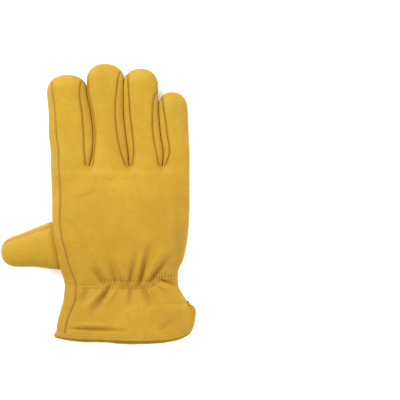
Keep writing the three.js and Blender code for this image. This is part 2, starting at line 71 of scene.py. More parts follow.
# Hand from the knuckles to the wrist: how far each edge has come in, how far the top has come down
# from the palm's height, and at what share of the top each edge is widest
HAND_TABLE = table(
    "along left right knuckle wrist left_rise right_rise",
    (0.00, 0.00, 0.00, 1.00, 0.00, 0.42, 0.42),
    (0.12, 0.05, 0.00, 0.75, 0.00, 0.45, 0.42),
    (0.25, 0.11, 0.00, 0.40, 0.00, 0.52, 0.41),
    (0.42, 0.14, 0.02, 0.10, 0.00, 0.66, 0.40),
    (0.60, 0.27, 0.16, 0.00, 0.04, 0.69, 0.39),
    (0.70, 0.44, 0.32, 0.00, 0.14, 0.69, 0.38),
    (0.80, 0.60, 0.58, 0.00, 0.34, 0.66, 0.38),
    (0.87, 0.72, 0.92, 0.00, 0.60, 0.58, 0.38),
    (0.93, 0.88, 1.00, 0.00, 0.85, 0.50, 0.38),
    (1.00, 1.00, 0.98, 0.00, 1.00, 0.44, 0.38),
)

# Cuff from the wrist to the hem: how far each edge has gone out, how far the top has risen,
# and at what share of the top each edge is widest
CUFF_TABLE = table(
    "along left right mouth left_rise right_rise",
    (0.07, 0.02, 0.08, 0.08, 0.42, 0.38),
    (0.13, 0.05, 0.20, 0.18, 0.42, 0.38),
    (0.20, 0.09, 0.34, 0.30, 0.42, 0.36),
    (0.27, 0.15, 0.50, 0.42, 0.42, 0.34),
    (0.32, 0.22, 0.60, 0.50, 0.42, 0.32),
    (0.37, 0.32, 1.05, 0.57, 0.42, 0.29),
    (0.43, 0.43, 1.40, 0.65, 0.42, 0.26),
    (0.60, 0.71, 1.55, 0.82, 0.42, 0.22),
    (0.80, 0.88, 1.55, 0.94, 0.42, 0.20),
    (1.00, 0.97, 1.50, 1.00, 0.42, 0.20),
    (1.25, 1.05, 1.50, 1.03, 0.42, 0.20),
)

# Hem of the back and of the palm, from the vent to the index side, as shares of half the cuff's
# width and of its length; turn is the place along the hem
HEM_TABLE = table(
    "turn across back palm",
    (0.00, 0.900, 0.323, 0.330),
    (0.03, 0.950, 0.337, 0.345),
    (0.06, 0.990, 0.385, 0.392),
    (0.09, 1.000, 0.465, 0.470),
    (0.14, 0.980, 0.632, 0.650),
    (0.18, 0.935, 0.750, 0.783),
    (0.23, 0.850, 0.825, 0.876),
    (0.29, 0.730, 0.878, 0.933),
    (0.37, 0.540, 0.912, 0.975),
    (0.55, 0.100, 0.925, 1.000),
    (0.71, -0.310, 0.905, 0.968),
    (0.86, -0.670, 0.892, 0.955),
    (0.96, -0.930, 0.868, 0.910),
    (1.00, -1.010, 0.840, 0.855),
)

# Side seam on the index side, as a multiple of its inset from the left edge, from the fingertip
# to the hem: reach is in index lengths above the crotches, in hand lengths below them
SIDE_SEAM = table(
    "part reach inset",
    ("index", 1.23, 1.0),
    ("index", 0.94, 0.70),
    ("index", 0.70, 0.90),
    ("index", 0.30, 1.05),
    ("hand", 0.00, 1.12),
    ("hand", -0.30, 1.10),
    ("hand", -0.50, 0.98),
    ("hand", -0.75, 1.15),
    ("hand", -1.00, 1.50),
    ("cuff", -0.25, 1.60),
    ("cuff", -0.50, 1.35),
    ("cuff", -0.80, 1.20),
    ("cuff", -1.20, 1.10),
)

# Part of a fourchette that shows beside each gap, along the shorter finger's length
REVEAL_TABLE = table(
    "along share",
    (-0.02, 0.36),
    (0.06, 0.62),
    (0.16, 0.88),
    (0.34, 1.00),
    (0.60, 0.92),
    (0.82, 0.70),
    (0.93, 0.50),
    (1.01, 0.00),
)
FOURCHETTES = table(
    "name gap left right",
    ("fourchette_index_middle", 1, 1.10, 0.22),
    ("fourchette_middle_ring", 2, 1.00, 0.82),
    ("fourchette_ring_little", 3, 0.88, 0.80),
)

# Thumb from the hand's edge outwards: its middle line and half width as shares of its width
THUMB_TABLE = table(
    "along middle half height",
    (-0.60, 0.00, 0.40, 0.80),
    (-0.20, 0.00, 0.47, 0.93),
    (0.00, 0.00, 0.50, 0.96),
    (0.20, -0.02, 0.455, 1.00),
    (0.37, -0.036, 0.407, 1.00),
    (0.64, -0.098, 0.345, 0.97),
    (0.81, -0.124, 0.310, 0.93),
    (1.00, -0.130, 0.290, 0.90),
)

# Two rows of stitches that gather the wrist: rise is a share of the gathers' step, width of their breadth
SHIRRING_TABLE = table(
    "across rise width",
    (-1.00, -0.32, 0.52),
    (-0.48, -0.30, 0.52),
    (-0.24, 0.05, 1.00),
    (0.50, 0.10, 1.00),
    (0.66, 0.82, 0.62),
    (1.00, 0.93, 0.60),
)

# Folds, each along a line: x as a share of half the wrist, y above the wrist as a share of the hand's
# length and below it of the cuff's, depth negative for a valley, breadth as a share of the usual one
FOLD_TABLE = table(
    "x y to_x to_y depth breadth",
    (-0.22, 0.03, -0.62, 0.40, 0.75, 1.1),
    (-0.34, 0.02, -0.51, 0.16, -0.80, 0.9),
    (-0.11, 0.03, -0.22, 0.24, -0.65, 1.0),
    (0.06, 0.02, -0.08, 0.26, 0.85, 0.8),
    (0.15, 0.03, 0.27, 0.28, -0.95, 0.9),
    (0.25, 0.02, 0.41, 0.30, 1.00, 0.8),
    (0.34, 0.05, 0.52, 0.37, -1.25, 1.0),
    (0.46, 0.05, 0.79, 0.32, 1.10, 0.9),
    (0.54, 0.06, 0.91, 0.27, -1.20, 1.0),
    (-0.31, -0.07, -0.67, -0.45, 1.00, 0.8),
    (-0.24, -0.10, -0.58, -0.55, -1.10, 1.0),
    (-0.61, -0.09, -0.73, -0.35, -0.75, 1.2),
    (-0.08, -0.07, -0.27, -0.36, 0.85, 0.8),
    (0.17, -0.08, 0.13, -0.40, -0.80, 0.9),
    (0.40, -0.08, 0.55, -0.40, -0.85, 1.0),
    (0.54, -0.06, 0.69, -0.33, 0.95, 0.7),
    (0.66, 0.00, 0.88, -0.10, 0.90, 0.7),
    (0.71, 0.04, 1.02, -0.03, -1.50, 0.35),
    (0.97, -0.20, 1.03, -0.46, 0.60, 0.7),
    (-0.76, -0.730, 0.16, -0.765, -0.90, 0.5),
    (-0.66, -0.660, -0.02, -0.675, 0.60, 0.8),
    (0.72, -0.72, 1.08, -0.46, -0.38, 1.3),
    (1.00, 0.22, 1.04, 1.00, -0.45, 2.2),
    (-0.66, 0.74, -0.34, 0.79, -0.28, 1.0),
    (-0.94, 0.58, -0.44, 0.35, 0.35, 1.3),
)

HAND_CURVE = {"crown": 2.7, "sole": 4.0}
FINGER_CURVE = {"crown": 2.3, "sole": 3.2, "tip_plan": 2.3, "tip_side": 2.0}
THUMB_CURVE = {"crown": 2.1, "sole": 3.2, "tip_plan": 2.2, "tip_side": 2.0}

# Where the sides of a finger and of the thumb are widest, as shares of their height
FINGER_LEVEL = 0.46
THUMB_LEVEL = 0.42

# How far a finger's form narrows, rises and sinks as it runs into the hand
ROOT_TAPER = 0.12
KNUCKLE_LEAD = 0.35
ROOT_DROP = 0.2
FRONT_DROP = 0.7
JOIN_SOFTNESS = 1.5 * MM

# Steps along the hem, to find its direction and the place where the side seam meets it
HEM_STEP = 0.005
SEAM_STEP = 0.002

# A fold starts before its line, is full soon after the start, and widens along it
FOLD_LEAD = -0.3
FOLD_FULL = 0.12
FOLD_SPREAD = 0.75
FOLD_CUTOFF = 2.6


def length(name, description, millimetres):
    return bpy.props.FloatProperty(
        name=name, description=description, default=millimetres * MM, min=0.0, unit="LENGTH", precision=4
    )


def share(name, description, default):
    return bpy.props.FloatProperty(
        name=name, description=description, default=default, min=0.0, max=1.0, subtype="FACTOR"
    )


def colour(name, description, default):
    return bpy.props.FloatVectorProperty(
        name=name, description=description, default=default, size=4, min=0.0, max=1.0, subtype="COLOR"
    )


class GloveSizes(bpy.types.PropertyGroup):
    index_width: length("Index width", "Width of the index finger where it parts", 35.2)
    middle_width: length("Middle width", "Width of the middle finger where it parts", 35.3)
    ring_width: length("Ring width", "Width of the ring finger where it parts", 29.5)
    little_width: length("Little width", "Width of the little finger where it parts", 24.5)
    index_length: length("Index length", "From where the fingers part to the tip", 81.6)
    middle_length: length("Middle length", "From where the fingers part to the tip", 91.4)
    ring_length: length("Ring length", "From where the fingers part to the tip", 87.1)
    little_length: length("Little length", "From where the fingers part to the tip", 66.1)
    finger_height: length("Finger height", "Height of a finger as it lies", 15.5)
    fingertip_length: length("Fingertip length", "Round end of a finger seen from above", 17.0)
    fingertip_height_length: length("Fingertip slope", "Round end of a finger seen from the side", 13.0)
    finger_root_length: length("Finger root", "How far a finger's form runs into the hand", 21.6)
    finger_gap: length("Finger gap", "Gap between two fingers", 0.30)
    finger_press: length("Finger press", "How far two fingers flatten where they lie together", 0.9)
    hand_length: length("Hand length", "From where the fingers part to the gathers", 106.5)
    knuckle_height: length("Knuckle height", "Height of the hand at the knuckles", 17.0)
    palm_height: length("Palm height", "Height of the hand at its fullest", 23.0)
    wrist_width: length("Wrist width", "Width at the gathers", 101.5)
    wrist_shift: length("Wrist shift", "How far the wrist stands towards the little finger", 1.0)
    wrist_height: length("Wrist height", "Height at the gathers", 17.0)
    front_rounding: length("Front rounding", "Depth of the round front of the hand", 9.0)
    sole_sink: length("Sole sink", "How far the sole's curve is cut off where it lies flat", 1.6)
    cuff_length: length("Cuff length", "From the gathers to the hem", 53.9)
    cuff_width: length("Cuff width", "Width at the hem", 126.5)
    cuff_shift: length("Cuff shift", "How far the cuff stands towards the little finger", 4.7)
    mouth_height: length("Mouth height", "Height of the open cuff", 20.0)
    vent_height: length("Vent height", "Height of the cuff at its vent", 11.0)
    thumb_length: length("Thumb length", "From the hand's edge to the tip", 49.6)
    thumb_width: length("Thumb width", "Width at the hand's edge", 43.4)
    thumb_height: length("Thumb height", "Height of the thumb as it lies", 15.0)
    thumb_place: length("Thumb place", "From where the fingers part to the thumb's middle", 71.5)
    thumb_tip_length: length("Thumb tip", "Round end of the thumb", 13.0)
    thumb_patch_reach: length("Thumb patch reach", "How far the thumb's patch runs into the palm", 28.0)
    thumb_patch_width: length("Thumb patch width", "Width of the thumb's patch in the palm", 50.0)
    fold_depth: length("Fold depth", "Depth of a fold that runs from the gathers", 2.2)
    fold_breadth: length("Fold breadth", "Half breadth of such a fold", 2.5)
    shirring_step: length("Gathers step", "Rise of the gathers on the little finger's side", 6.0)
    shirring_width: length("Gathers width", "Between the two gathered rows", 6.0)


class SeamSizes(bpy.types.PropertyGroup):
    leather: length("Leather", "Thickness of the hide", 1.3)
    binding_leather: length("Binding leather", "Thickness of the binding strip", 1.0)
    seam_gap: length("Seam gap", "Gap between two sewn edges", 0.3)
    side_seam_inset: length("Side seam inset", "From the left edge to the side seam", 7.0)
    fourchette_reveal: length("Fourchette reveal", "Part of a fourchette that shows from above", 7.5)
    crotch_patch: length("Crotch patch", "Smallest part of a fourchette that shows", 2.6)
    binding_width: length("Binding width", "Width of the bound hem", 3.6)
    roll_depth: length("Roll depth", "How far an edge rolls down into its seam", 0.9)
    roll_width: length("Roll width", "Breadth of that roll", 1.2)
    pucker_depth: length("Pucker depth", "Depth of the fine gathers", 0.60)
    gather_sink: length("Gathers sink", "How far the gathered band is drawn in", 0.7)
    row_depth: length("Row depth", "How far a gathered row's thread sinks in", 0.50)
    rib_depth: length("Rib depth", "Depth of the ribs beside the side seam", 0.20)
    rib_pitch: length("Rib pitch", "Pitch of those ribs", 1.9)
    stitch_length: length("Stitch length", "Length of one stitch", 1.7)
    stitch_pitch: length("Stitch pitch", "From one stitch to the next", 2.4)
    side_stitch_pitch: length("Side stitch pitch", "From one stitch of the side seam to the next", 1.6)
    thread_width: length("Thread width", "Breadth of the sewing thread", 0.44)
    elastic_width: length("Elastic width", "Width of the wrist elastic", 10.0)
    elastic_thickness: length("Elastic thickness", "Thickness of the wrist elastic", 1.0)


class GloveColours(bpy.types.PropertyGroup):
    leather: colour("Leather", "Main colour of the hide", (0.41, 0.235, 0.013, 1.0))
    pale: colour("Pale leather", "Colour where the hide is stretched", (0.46, 0.280, 0.019, 1.0))
    # The deep colour is the painted shade in creases, seams, grooves, gaps and below the fingers; it also
    # tints the mottle and the warmer pieces
    deep: colour("Deep leather", "Colour in creases and seams", (0.30, 0.125, 0.004, 1.0))
    thread: colour("Thread", "Sewing thread", (0.50, 0.30, 0.06, 1.0))
    side_thread: colour("Side thread", "Thread of the side seam", (0.52, 0.32, 0.15, 1.0))
    elastic: colour("Elastic", "Wrist elastic", (0.83, 0.78, 0.64, 1.0))
    floor: colour("Floor", "Plain pale floor", (0.95, 0.95, 0.95, 1.0))
    roughness: share("Roughness", "Roughness of the hide", 0.56)
    grain: share("Grain", "Strength of the hide's grain", 0.30)


def mix(low, high, part):
    return low + (high - low) * part


def clamp(value, low=0.0, high=1.0):
    return max(low, min(high, value))


def smooth(value, low, high):
    part = clamp((value - low) / (high - low))
    return part * part * (3 - 2 * part)


def glide(rows, key, value, at):
    """Smooth value of a table's column, by a cubic through its rows, which rise by key."""
    last = len(rows) - 1
    place = clamp(at, rows[0][key], rows[last][key])
    low = 0
    while low < last - 1 and rows[low + 1][key] < place:
        low += 1

    def slope(first, second):
        return (rows[second][value] - rows[first][value]) / (rows[second][key] - rows[first][key])

    span = rows[low + 1][key] - rows[low][key]
    part = (place - rows[low][key]) / span
    start_slope = slope(max(low - 1, 0), low + 1)
    end_slope = slope(low, min(low + 2, last))
    square = part * part
    cube = square * part
    return (
        rows[low][value] * (2 * cube - 3 * square + 1)
        + start_slope * span * (cube - 2 * square + part)
        + rows[low + 1][value] * (3 * square - 2 * cube)
        + end_slope * span * (cube - square)
    )


def tip_round(distance, reach, power):
    """How far a round tip has closed, at a distance from its end."""
    part = 1 - clamp(distance / reach)
    return (1 - part**power) ** (1 / power)


class GloveForm:
    """The glove's outer skin over its plan, worked out from the sizes and the tables."""

    def __init__(self, sizes, seams):
        self.sizes = sizes
        self.seams = seams
        self.crotch_y = sizes.hand_length / 2
        self.wrist_y = -self.crotch_y
        self.wrist_half = sizes.wrist_width / 2
        self.cuff_half = sizes.cuff_width / 2
        widths = (sizes.index_width, sizes.middle_width, sizes.ring_width, sizes.little_width)
        self.lengths = (sizes.index_length, sizes.middle_length, sizes.ring_length, sizes.little_length)
        self.knuckle_width = sum(widths)
        self.edges = [-self.knuckle_width / 2]
        for width in widths:
            self.edges.append(self.edges[-1] + width)
        self.outline = sorted(self.hand_rows() + self.cuff_rows(), key=lambda row: row["y"])
        self.sways = [
            [
                {"y": self.crotch_y + row["along"] * sizes.middle_length,
                 "x": edge + row["lines"][line] * self.knuckle_width}
                for row in FINGER_SWAY
            ]
            for line, edge in enumerate(self.edges)
        ]
        starts = {"index": self.crotch_y, "hand": self.crotch_y, "cuff": self.wrist_y}
        reaches = {"index": sizes.index_length, "hand": sizes.hand_length, "cuff": sizes.cuff_length}
        self.seam_rows = sorted(
            (
                {"y": starts[row["part"]] + row["reach"] * reaches[row["part"]], "inset": row["inset"]}
                for row in SIDE_SEAM
            ),
            key=lambda row: row["y"],
        )
        self.seam_turn = self.turn_at_seam()
        self.thumb_y = self.crotch_y - sizes.thumb_place
        self.thumb_edge_x = self.hand(self.thumb_y)["left"]
        self.folds = self.fold_lines()

    def hand_rows(self):
        half = self.knuckle_width / 2
        size = self.sizes
        return [
            {
                "y": self.crotch_y - row["along"] * size.hand_length,
                "left": -mix(half, self.wrist_half - size.wrist_shift, row["left"]),
                "right": mix(half, self.wrist_half + size.wrist_shift, row["right"]),
                "top": size.palm_height
                + row["knuckle"] * (size.knuckle_height - size.palm_height)
                + row["wrist"] * (size.wrist_height - size.palm_height),
                "left_rise": row["left_rise"],
                "right_rise": row["right_rise"],
                "droop": 0.0,
            }
            for row in HAND_TABLE
        ]

    def cuff_rows(self):
        size = self.sizes
        return [
            {
                "y": self.wrist_y - row["along"] * size.cuff_length,
                "left": -mix(
                    self.wrist_half - size.wrist_shift, self.cuff_half - size.cuff_shift, row["left"]
                ),
                "right": mix(
                    self.wrist_half + size.wrist_shift, self.cuff_half + size.cuff_shift, row["right"]
                ),
                "top": mix(size.wrist_height, size.mouth_height, row["mouth"]),
                "left_rise": row["left_rise"],
                "right_rise": row["right_rise"],
                "droop": row["mouth"] * (1 - size.vent_height / size.mouth_height),
            }
            for row in CUFF_TABLE
        ]

    @functools.lru_cache(maxsize=200000)
    def hand(self, y):
        """Section of the hand or cuff at y."""
        size = self.sizes
        nose = clamp((y - self.crotch_y) / size.front_rounding + 1)
        drop = math.sqrt(1 - FRONT_DROP * nose * nose)
        top = glide(self.outline, "y", "top", y) * drop
        lift = (self.seams.seam_gap + self.seams.binding_leather) * smooth(
            self.wrist_y - y, 0, size.cuff_length * 0.30
        )
        return {
            "left": glide(self.outline, "y", "left", y),
            "right": glide(self.outline, "y", "right", y),
            "top": top,
            "bottom": lift,
            "left_level": glide(self.outline, "y", "left_rise", y) * top,
            "right_level": glide(self.outline, "y", "right_rise", y) * top,
            "droop": glide(self.outline, "y", "droop", y),
            **HAND_CURVE,
        }

    @functools.lru_cache(maxsize=200000)
    def boundary(self, line, y):
        return glide(self.sways[line], "y", "x", y)

    @functools.lru_cache(maxsize=200000)
    def finger(self, index, y):
        """Section of a finger at y, which fades into the hand behind the crotches."""
        size = self.sizes
        reach = self.lengths[index]
        tip = self.crotch_y + reach
        wide = tip_round(tip - y, size.fingertip_length, FINGER_CURVE["tip_plan"])
        high = tip_round(tip - y, size.fingertip_height_length, FINGER_CURVE["tip_side"])
        behind = self.crotch_y - y
        rooted = smooth(behind, 0, size.finger_root_length)
        knuckle = smooth(behind, -reach * KNUCKLE_LEAD, size.front_rounding)
        sunk = smooth(behind, size.front_rounding, size.finger_root_length)
        front_y = max(y, self.crotch_y)
        left = self.boundary(index, front_y) + size.finger_gap / 2 * (index > 0)
        right = self.boundary(index + 1, front_y) - size.finger_gap / 2 * (index < 3)
        centre = (left + right) / 2
        centre += size.finger_press / 2 * ((index < 3) - (index > 0))
        half = (right - left + size.finger_press * ((index < 3) + (index > 0))) / 2
        half *= wide * (1 - ROOT_TAPER * rooted)
        root_top = self.knuckle_top(index)
        body = mix(size.finger_height, root_top + self.seams.seam_gap, knuckle)
        body -= root_top * ROOT_DROP * sunk
        level = size.finger_height * FINGER_LEVEL
        underside = tip_round(tip - y, size.fingertip_height_length * 0.5, 2.0)
        return {
            "left": centre - half,
            "right": centre + half,
            "low_limit": left if index > 0 else -math.inf,
            "high_limit": right if index < 3 else math.inf,
            "top": mix(level, body, high),
            "bottom": level * (1 - underside),
            "left_level": level,
            "right_level": level,
            "droop": 0.0,
            **FINGER_CURVE,
        }

    @functools.lru_cache(maxsize=8)
    def knuckle_top(self, index):
        shape = self.hand(self.crotch_y - self.sizes.front_rounding)
        middle = (self.edges[index] + self.edges[index + 1]) / 2
        return self.crown(shape, self.across(shape, middle))

    def across(self, shape, x):
        """Share of the half width at x: -1 at the left edge and 1 at the right one."""
        half = max((shape["right"] - shape["left"]) / 2, 1e-6)
        return clamp((x - (shape["right"] + shape["left"]) / 2) / half, -1, 1)

    def level(self, shape, part):
        return mix(shape["left_level"], shape["right_level"], (part + 1) / 2)

    def crown(self, shape, part, relief=0.0):
        level = self.level(shape, part)
        arch = (1 - abs(part) ** shape["crown"]) ** (1 / shape["crown"])
        drooped = shape["top"] * (1 - shape["droop"] * max(0.0, (part + 0.1) / 1.1) ** 2)
        return level + max(drooped - level, 0.0) * arch + relief * arch

    def sole(self, shape, part):
        level = self.level(shape, part)
        curve = (1 - abs(part) ** shape["sole"]) ** (1 / shape["sole"])
        depth = curve * (level - shape["bottom"] + self.sizes.sole_sink)
        return max(shape["bottom"], level - depth)

    def shirring(self, x):
        """The gathers' middle line, which steps towards the fingers on the little finger's side."""
        return self.wrist_y + self.sizes.shirring_step * self.shirring_value("rise", x)

    def shirring_half(self, x):
        """Half of the distance between the two gathered rows."""
        return self.sizes.shirring_width / 2 * self.shirring_value("width", x)

    def shirring_value(self, value, x):
        across = (x - self.sizes.wrist_shift) / self.wrist_half
        return glide(SHIRRING_TABLE, "across", value, across)

    def fold_lines(self):
        """Each fold's start, direction, length, depth and breadth."""
        lines = []
        size = self.sizes
        for row in FOLD_TABLE:
            ends = []
            for x, y in ((row["x"], row["y"]), (row["to_x"], row["to_y"])):
                reach = size.hand_length if y > 0 else size.cuff_length
                ends.append(Vector((size.wrist_shift + x * self.wrist_half, self.wrist_y + y * reach)))
            line = ends[1] - ends[0]
            lines.append((ends[0], line.normalized(), line.length, row["depth"] * size.fold_depth,
                          row["breadth"] * size.fold_breadth))
        return lines

    def fold(self, x, y):
        """How far the folds lift or sink the back."""
        total = 0.0
        for start, along, reach, depth, breadth in self.folds:
            away_x, away_y = x - start.x, y - start.y
            travel = (away_x * along.x + away_y * along.y) / reach
            if travel < FOLD_LEAD or travel > 1:
                continue
            widened = breadth * (FOLD_SPREAD + FOLD_SPREAD * max(travel, 0.0))
            offset = (away_x * along.y - away_y * along.x) / widened
            if abs(offset) > FOLD_CUTOFF:
                continue
            rise = smooth(travel, FOLD_LEAD, FOLD_FULL) * (1 - max(travel, 0.0) ** 2)
            total += depth * rise * math.exp(-offset * offset)
        return total

    def top(self, x, y):
        """Height of the upper skin: the hand and the fingers run into each other softly."""
        heights = []
        behind = self.crotch_y - y
        if behind >= 0:
            shape = self.hand(y)
            heights.append(self.crown(shape, self.across(shape, x), self.fold(x, y)))
        if behind < self.sizes.finger_root_length:
            for index in range(4):
                shape = self.finger(index, y)
                alone = shape["low_limit"] <= x <= shape["high_limit"]
                if shape["left"] <= x <= shape["right"] and (behind >= 0 or alone):
                    heights.append(self.crown(shape, self.across(shape, x)))
        if not heights:
            return self.nearest_finger(x, y)["left_level"]
        highest = max(heights)
        spread = sum(math.exp((z - highest) / JOIN_SOFTNESS) for z in heights)
        return highest + JOIN_SOFTNESS * math.log(spread)

    def nearest_finger(self, x, y):
        shapes = [self.finger(index, y) for index in range(4)]
        return min(shapes, key=lambda shape: max(shape["left"] - x, x - shape["right"]))

    def under(self, x, y):
        """Height of the lower skin."""
        if y <= self.crotch_y:
            shape = self.hand(y)
            return self.sole(shape, self.across(shape, x))
        nearest = self.nearest_finger(x, y)
        return self.sole(nearest, self.across(nearest, x))

    def left_edge(self, y):
        return self.boundary(0, y) if y > self.crotch_y else self.hand(y)["left"]

    @functools.lru_cache(maxsize=200000)
    def side_seam(self, y):
        return self.left_edge(y) + self.seams.side_seam_inset * glide(self.seam_rows, "y", "inset", y)

    def hem(self, turn, layer, inset):
        """Point on the hem in plan, drawn in by inset, from the vent at turn 0 to the index side at 1."""
        point = self.hem_point(turn, layer)
        ahead = self.hem_point(min(turn + HEM_STEP, 1.0), layer)
        behind = self.hem_point(max(turn - HEM_STEP, 0.0), layer)
        along = Vector((ahead[0] - behind[0], ahead[1] - behind[1])).normalized()
        return point[0] + along.y * inset, point[1] - along.x * inset

    def turn_at_seam(self):
        """Place along the hem where the side seam meets it."""
        turn = 1.0
        x, y = self.hem_point(turn, "back")
        while x <= self.side_seam(y):
            turn -= SEAM_STEP
            x, y = self.hem_point(turn, "back")
        return turn

    def hem_point(self, turn, layer):
        across = glide(HEM_TABLE, "turn", "across", turn)
        down = glide(HEM_TABLE, "turn", layer, turn)
        x = self.sizes.cuff_shift + across * self.cuff_half
        return x, self.wrist_y - down * self.sizes.cuff_length

    def reveal(self, gap, side, y):
        """Part of a fourchette beside a gap that shows at y."""
        row = FOURCHETTES[gap - 1]
        shorter = min(self.lengths[gap - 1], self.lengths[gap])
        along = (y - self.crotch_y) / shorter
        shown = self.seams.fourchette_reveal * row[side] * glide(REVEAL_TABLE, "along", "share", along)
        least = self.seams.crotch_patch * smooth(-along, -0.16, -0.02)
        return max(shown, least)

    def finger_limits(self, index, y):
        """Left and right limit in plan of a finger's back or palm leather at y."""
        shape = self.finger(index, y)
        left = self.side_seam(y)
        if index > 0:
            left = self.boundary(index, y) + self.reveal(index, "right", y)
        right = shape["right"]
        if index < 3:
            right = self.boundary(index + 1, y) - self.reveal(index + 1, "left", y)
        left = clamp(left, shape["left"], shape["right"])
        return left, clamp(right, left, shape["right"])


MERGE_DISTANCE = 0.01 * MM


def plate(columns, rows, place, keep=lambda column, row: True):
    """Sheet of columns by rows cells. place gives each corner's point and how much painted shade it takes
    in creases, seams, grooves and gaps, and keep says which cells stay."""
    sheet = bmesh.new()
    bmesh.ops.create_grid(sheet, x_segments=columns, y_segments=rows, size=0.5)
    dropped = []
    for face in sheet.faces:
        middle = face.calc_center_median()
        column = int((middle.x + 0.5) * columns)
        row = int((middle.y + 0.5) * rows)
        if not keep(column, row):
            dropped.append(face)
    bmesh.ops.delete(sheet, geom=dropped, context="FACES")
    painted_shade = sheet.verts.layers.float.new("painted_shade")
    for vertex in sheet.verts:
        column = round((vertex.co.x + 0.5) * columns)
        row = round((vertex.co.y + 0.5) * rows)
        point, depth = place(column, row)
        vertex.co = point
        vertex[painted_shade] = depth
    bmesh.ops.remove_doubles(sheet, verts=sheet.verts, dist=MERGE_DISTANCE)
    bmesh.ops.dissolve_degenerate(sheet, edges=sheet.edges, dist=MERGE_DISTANCE)
    return sheet


def face_out(shape, lowest=False):
    """Turns a sheet's faces outwards: its highest face looks up, or its lowest one down."""
    shape.normal_update()
    bmesh.ops.recalc_face_normals(shape, faces=shape.faces)
    shape.normal_update()
    sign = -1 if lowest else 1
    outer = max(shape.faces, key=lambda face: sign * face.calc_center_median().z)
    if sign * outer.normal.z < 0:
        bmesh.ops.reverse_faces(shape, faces=shape.faces)


def finish_piece(name, shape, material, replaced=(), wall=0.0):
    """Makes the object, gives its wall its thickness inwards, and hands it to the frame."""
    mesh = bpy.data.meshes.new(name)
    shape.to_mesh(mesh)
    shape.free()
    if not mesh.polygons:
        raise RuntimeError(f"{name} came out empty")
    piece = bpy.data.objects.new(name, mesh)
    bpy.context.scene.collection.objects.link(piece)
    for polygon in mesh.polygons:
        polygon.use_smooth = True
    mesh.materials.append(material)
    if wall:
        solidify = piece.modifiers.new("wall", "SOLIDIFY")
        solidify.thickness = wall
        solidify.offset = -1.0
    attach(piece, "root")
    if replaced:
        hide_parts(*replaced)


# Soft unevenness of the hide: two sizes of swell, each with its breadth, length, seed and height
SWELLS = ((0.026, 0.034, 3.1, 0.55 * MM), (0.009, 0.011, 7.7, 0.14 * MM))
BACK_SWELL = 0.8


def undulation(x, y, seed=0.0):
    rise = 0.0
    for breadth, reach, start, height in SWELLS:
        rise += height * noise.noise(Vector((x / breadth, y / reach, start + seed)))
    return rise


def roll(distance, seams):
    """How deep an edge rolls into its seam at a distance from it, from 0 to 1."""
    return math.exp(-((distance / seams.roll_width) ** 2))


# An edge that is nearer than this to the side of a finger has no roll
LEAST_EDGE = 0.2 * MM

# Painted shade in creases, seams, grooves and gaps, from 0 on open leather to 1 in a seam
SIDE_SEAM_SHADE = 0.62
ROW_SHADE = 0.42
GATHER_SHADE = 0.55
FOLD_SHADE = 0.85
# Painted shade on the back below the fingers, which stands in for the light falling off away from the
# fingers, and how far below the crotches it comes in full
PAINTED_SHADE_BELOW_FINGERS = 0.25
PAINTED_SHADE_BELOW_FINGERS_REACH = 35 * MM

# Fine gathers: how far they run past a row, and how that varies along it, in millimetres
GATHER_REACH = 2.6
GATHER_REACH_CHANGE = 2.4
GATHER_PATCH = 3.1 * MM
GATHER_COLUMNS = 4
GATHER_START = 3 * MM
GATHER_END = 6 * MM
GATHER_WANDER = 2.1 * MM
GATHER_SWING = 0.7

# Gathers are weak on the thumb's side, up to one share of half the wrist's width, and full from another
WEAK_GATHERS = 0.30
WEAK_UP_TO = -0.42
FULL_FROM = -0.22
SINK_REACH = 3.5 * MM
ROW_BREADTH = 0.6 * MM

# Where the cuff's straight part ends at the vent, and how deep the V of a crotch runs back
VENT_START = 0.27
VENT_SPREAD = 0.82
CROTCH_DIP = 4.2 * MM
CROTCH_FADE = 0.25

# Cells of the back's sheet
FINGER_COLUMNS = 34
GAP_COLUMNS = 6
FINGER_ROWS = 64
TIP_ROWS = 18
HAND_ROWS = 120
CUFF_ROWS = 48
STRIDE = FINGER_COLUMNS + GAP_COLUMNS
BACK_COLUMNS = 4 * FINGER_COLUMNS + 3 * GAP_COLUMNS
BACK_ROWS = FINGER_ROWS + TIP_ROWS + HAND_ROWS + CUFF_ROWS
CROTCH_ROW = HAND_ROWS + CUFF_ROWS


def finger_y(form, index, row, straight_rows):
    """The y of a row of a finger; the rows close up round the tip."""
    straight = form.lengths[index] - form.sizes.fingertip_length
    if row <= straight_rows:
        return form.crotch_y + straight * row / straight_rows
    angle = math.pi / 2 * (row - straight_rows) / TIP_ROWS
    return form.crotch_y + straight + form.sizes.fingertip_length * math.sin(angle)


def way_down(row, cuff_rows, hand_rows):
    """Place of a row between the crotches at 0, the vent's start at 1 and the hem at 2."""
    if row >= cuff_rows:
        return 1 - (row - cuff_rows) / hand_rows
    return 2 - row / cuff_rows


def spread_angle(shape, left, right, part):
    """x between two limits, spaced evenly round the section, so that steep sides are well covered."""
    centre = (shape["left"] + shape["right"]) / 2
    half = max((shape["right"] - shape["left"]) / 2, 1e-6)
    start = math.acos(clamp((left - centre) / half, -1, 1))
    end = math.acos(clamp((right - centre) / half, -1, 1))
    return centre + half * math.cos(mix(start, end, part))


def crotch_x(form, column):
    """x of a column of the back where the fingers part."""
    index, place = divmod(column, STRIDE)
    y = form.crotch_y
    if place <= FINGER_COLUMNS:
        left, right = form.finger_limits(index, y)
        return spread_angle(form.finger(index, y), left, right, place / FINGER_COLUMNS)
    _, left = form.finger_limits(index, y)
    right, _ = form.finger_limits(index + 1, y)
    return mix(left, right, (place - FINGER_COLUMNS) / GAP_COLUMNS)


def crotch_dip(form, x):
    """How far the back's edge runs back from the crotches at each gap, in a small V."""
    dip = 0.0
    for gap in (1, 2, 3):
        away = abs(x - form.edges[gap]) / form.seams.crotch_patch
        dip = max(dip, CROTCH_DIP * clamp(1 - away))
    return dip


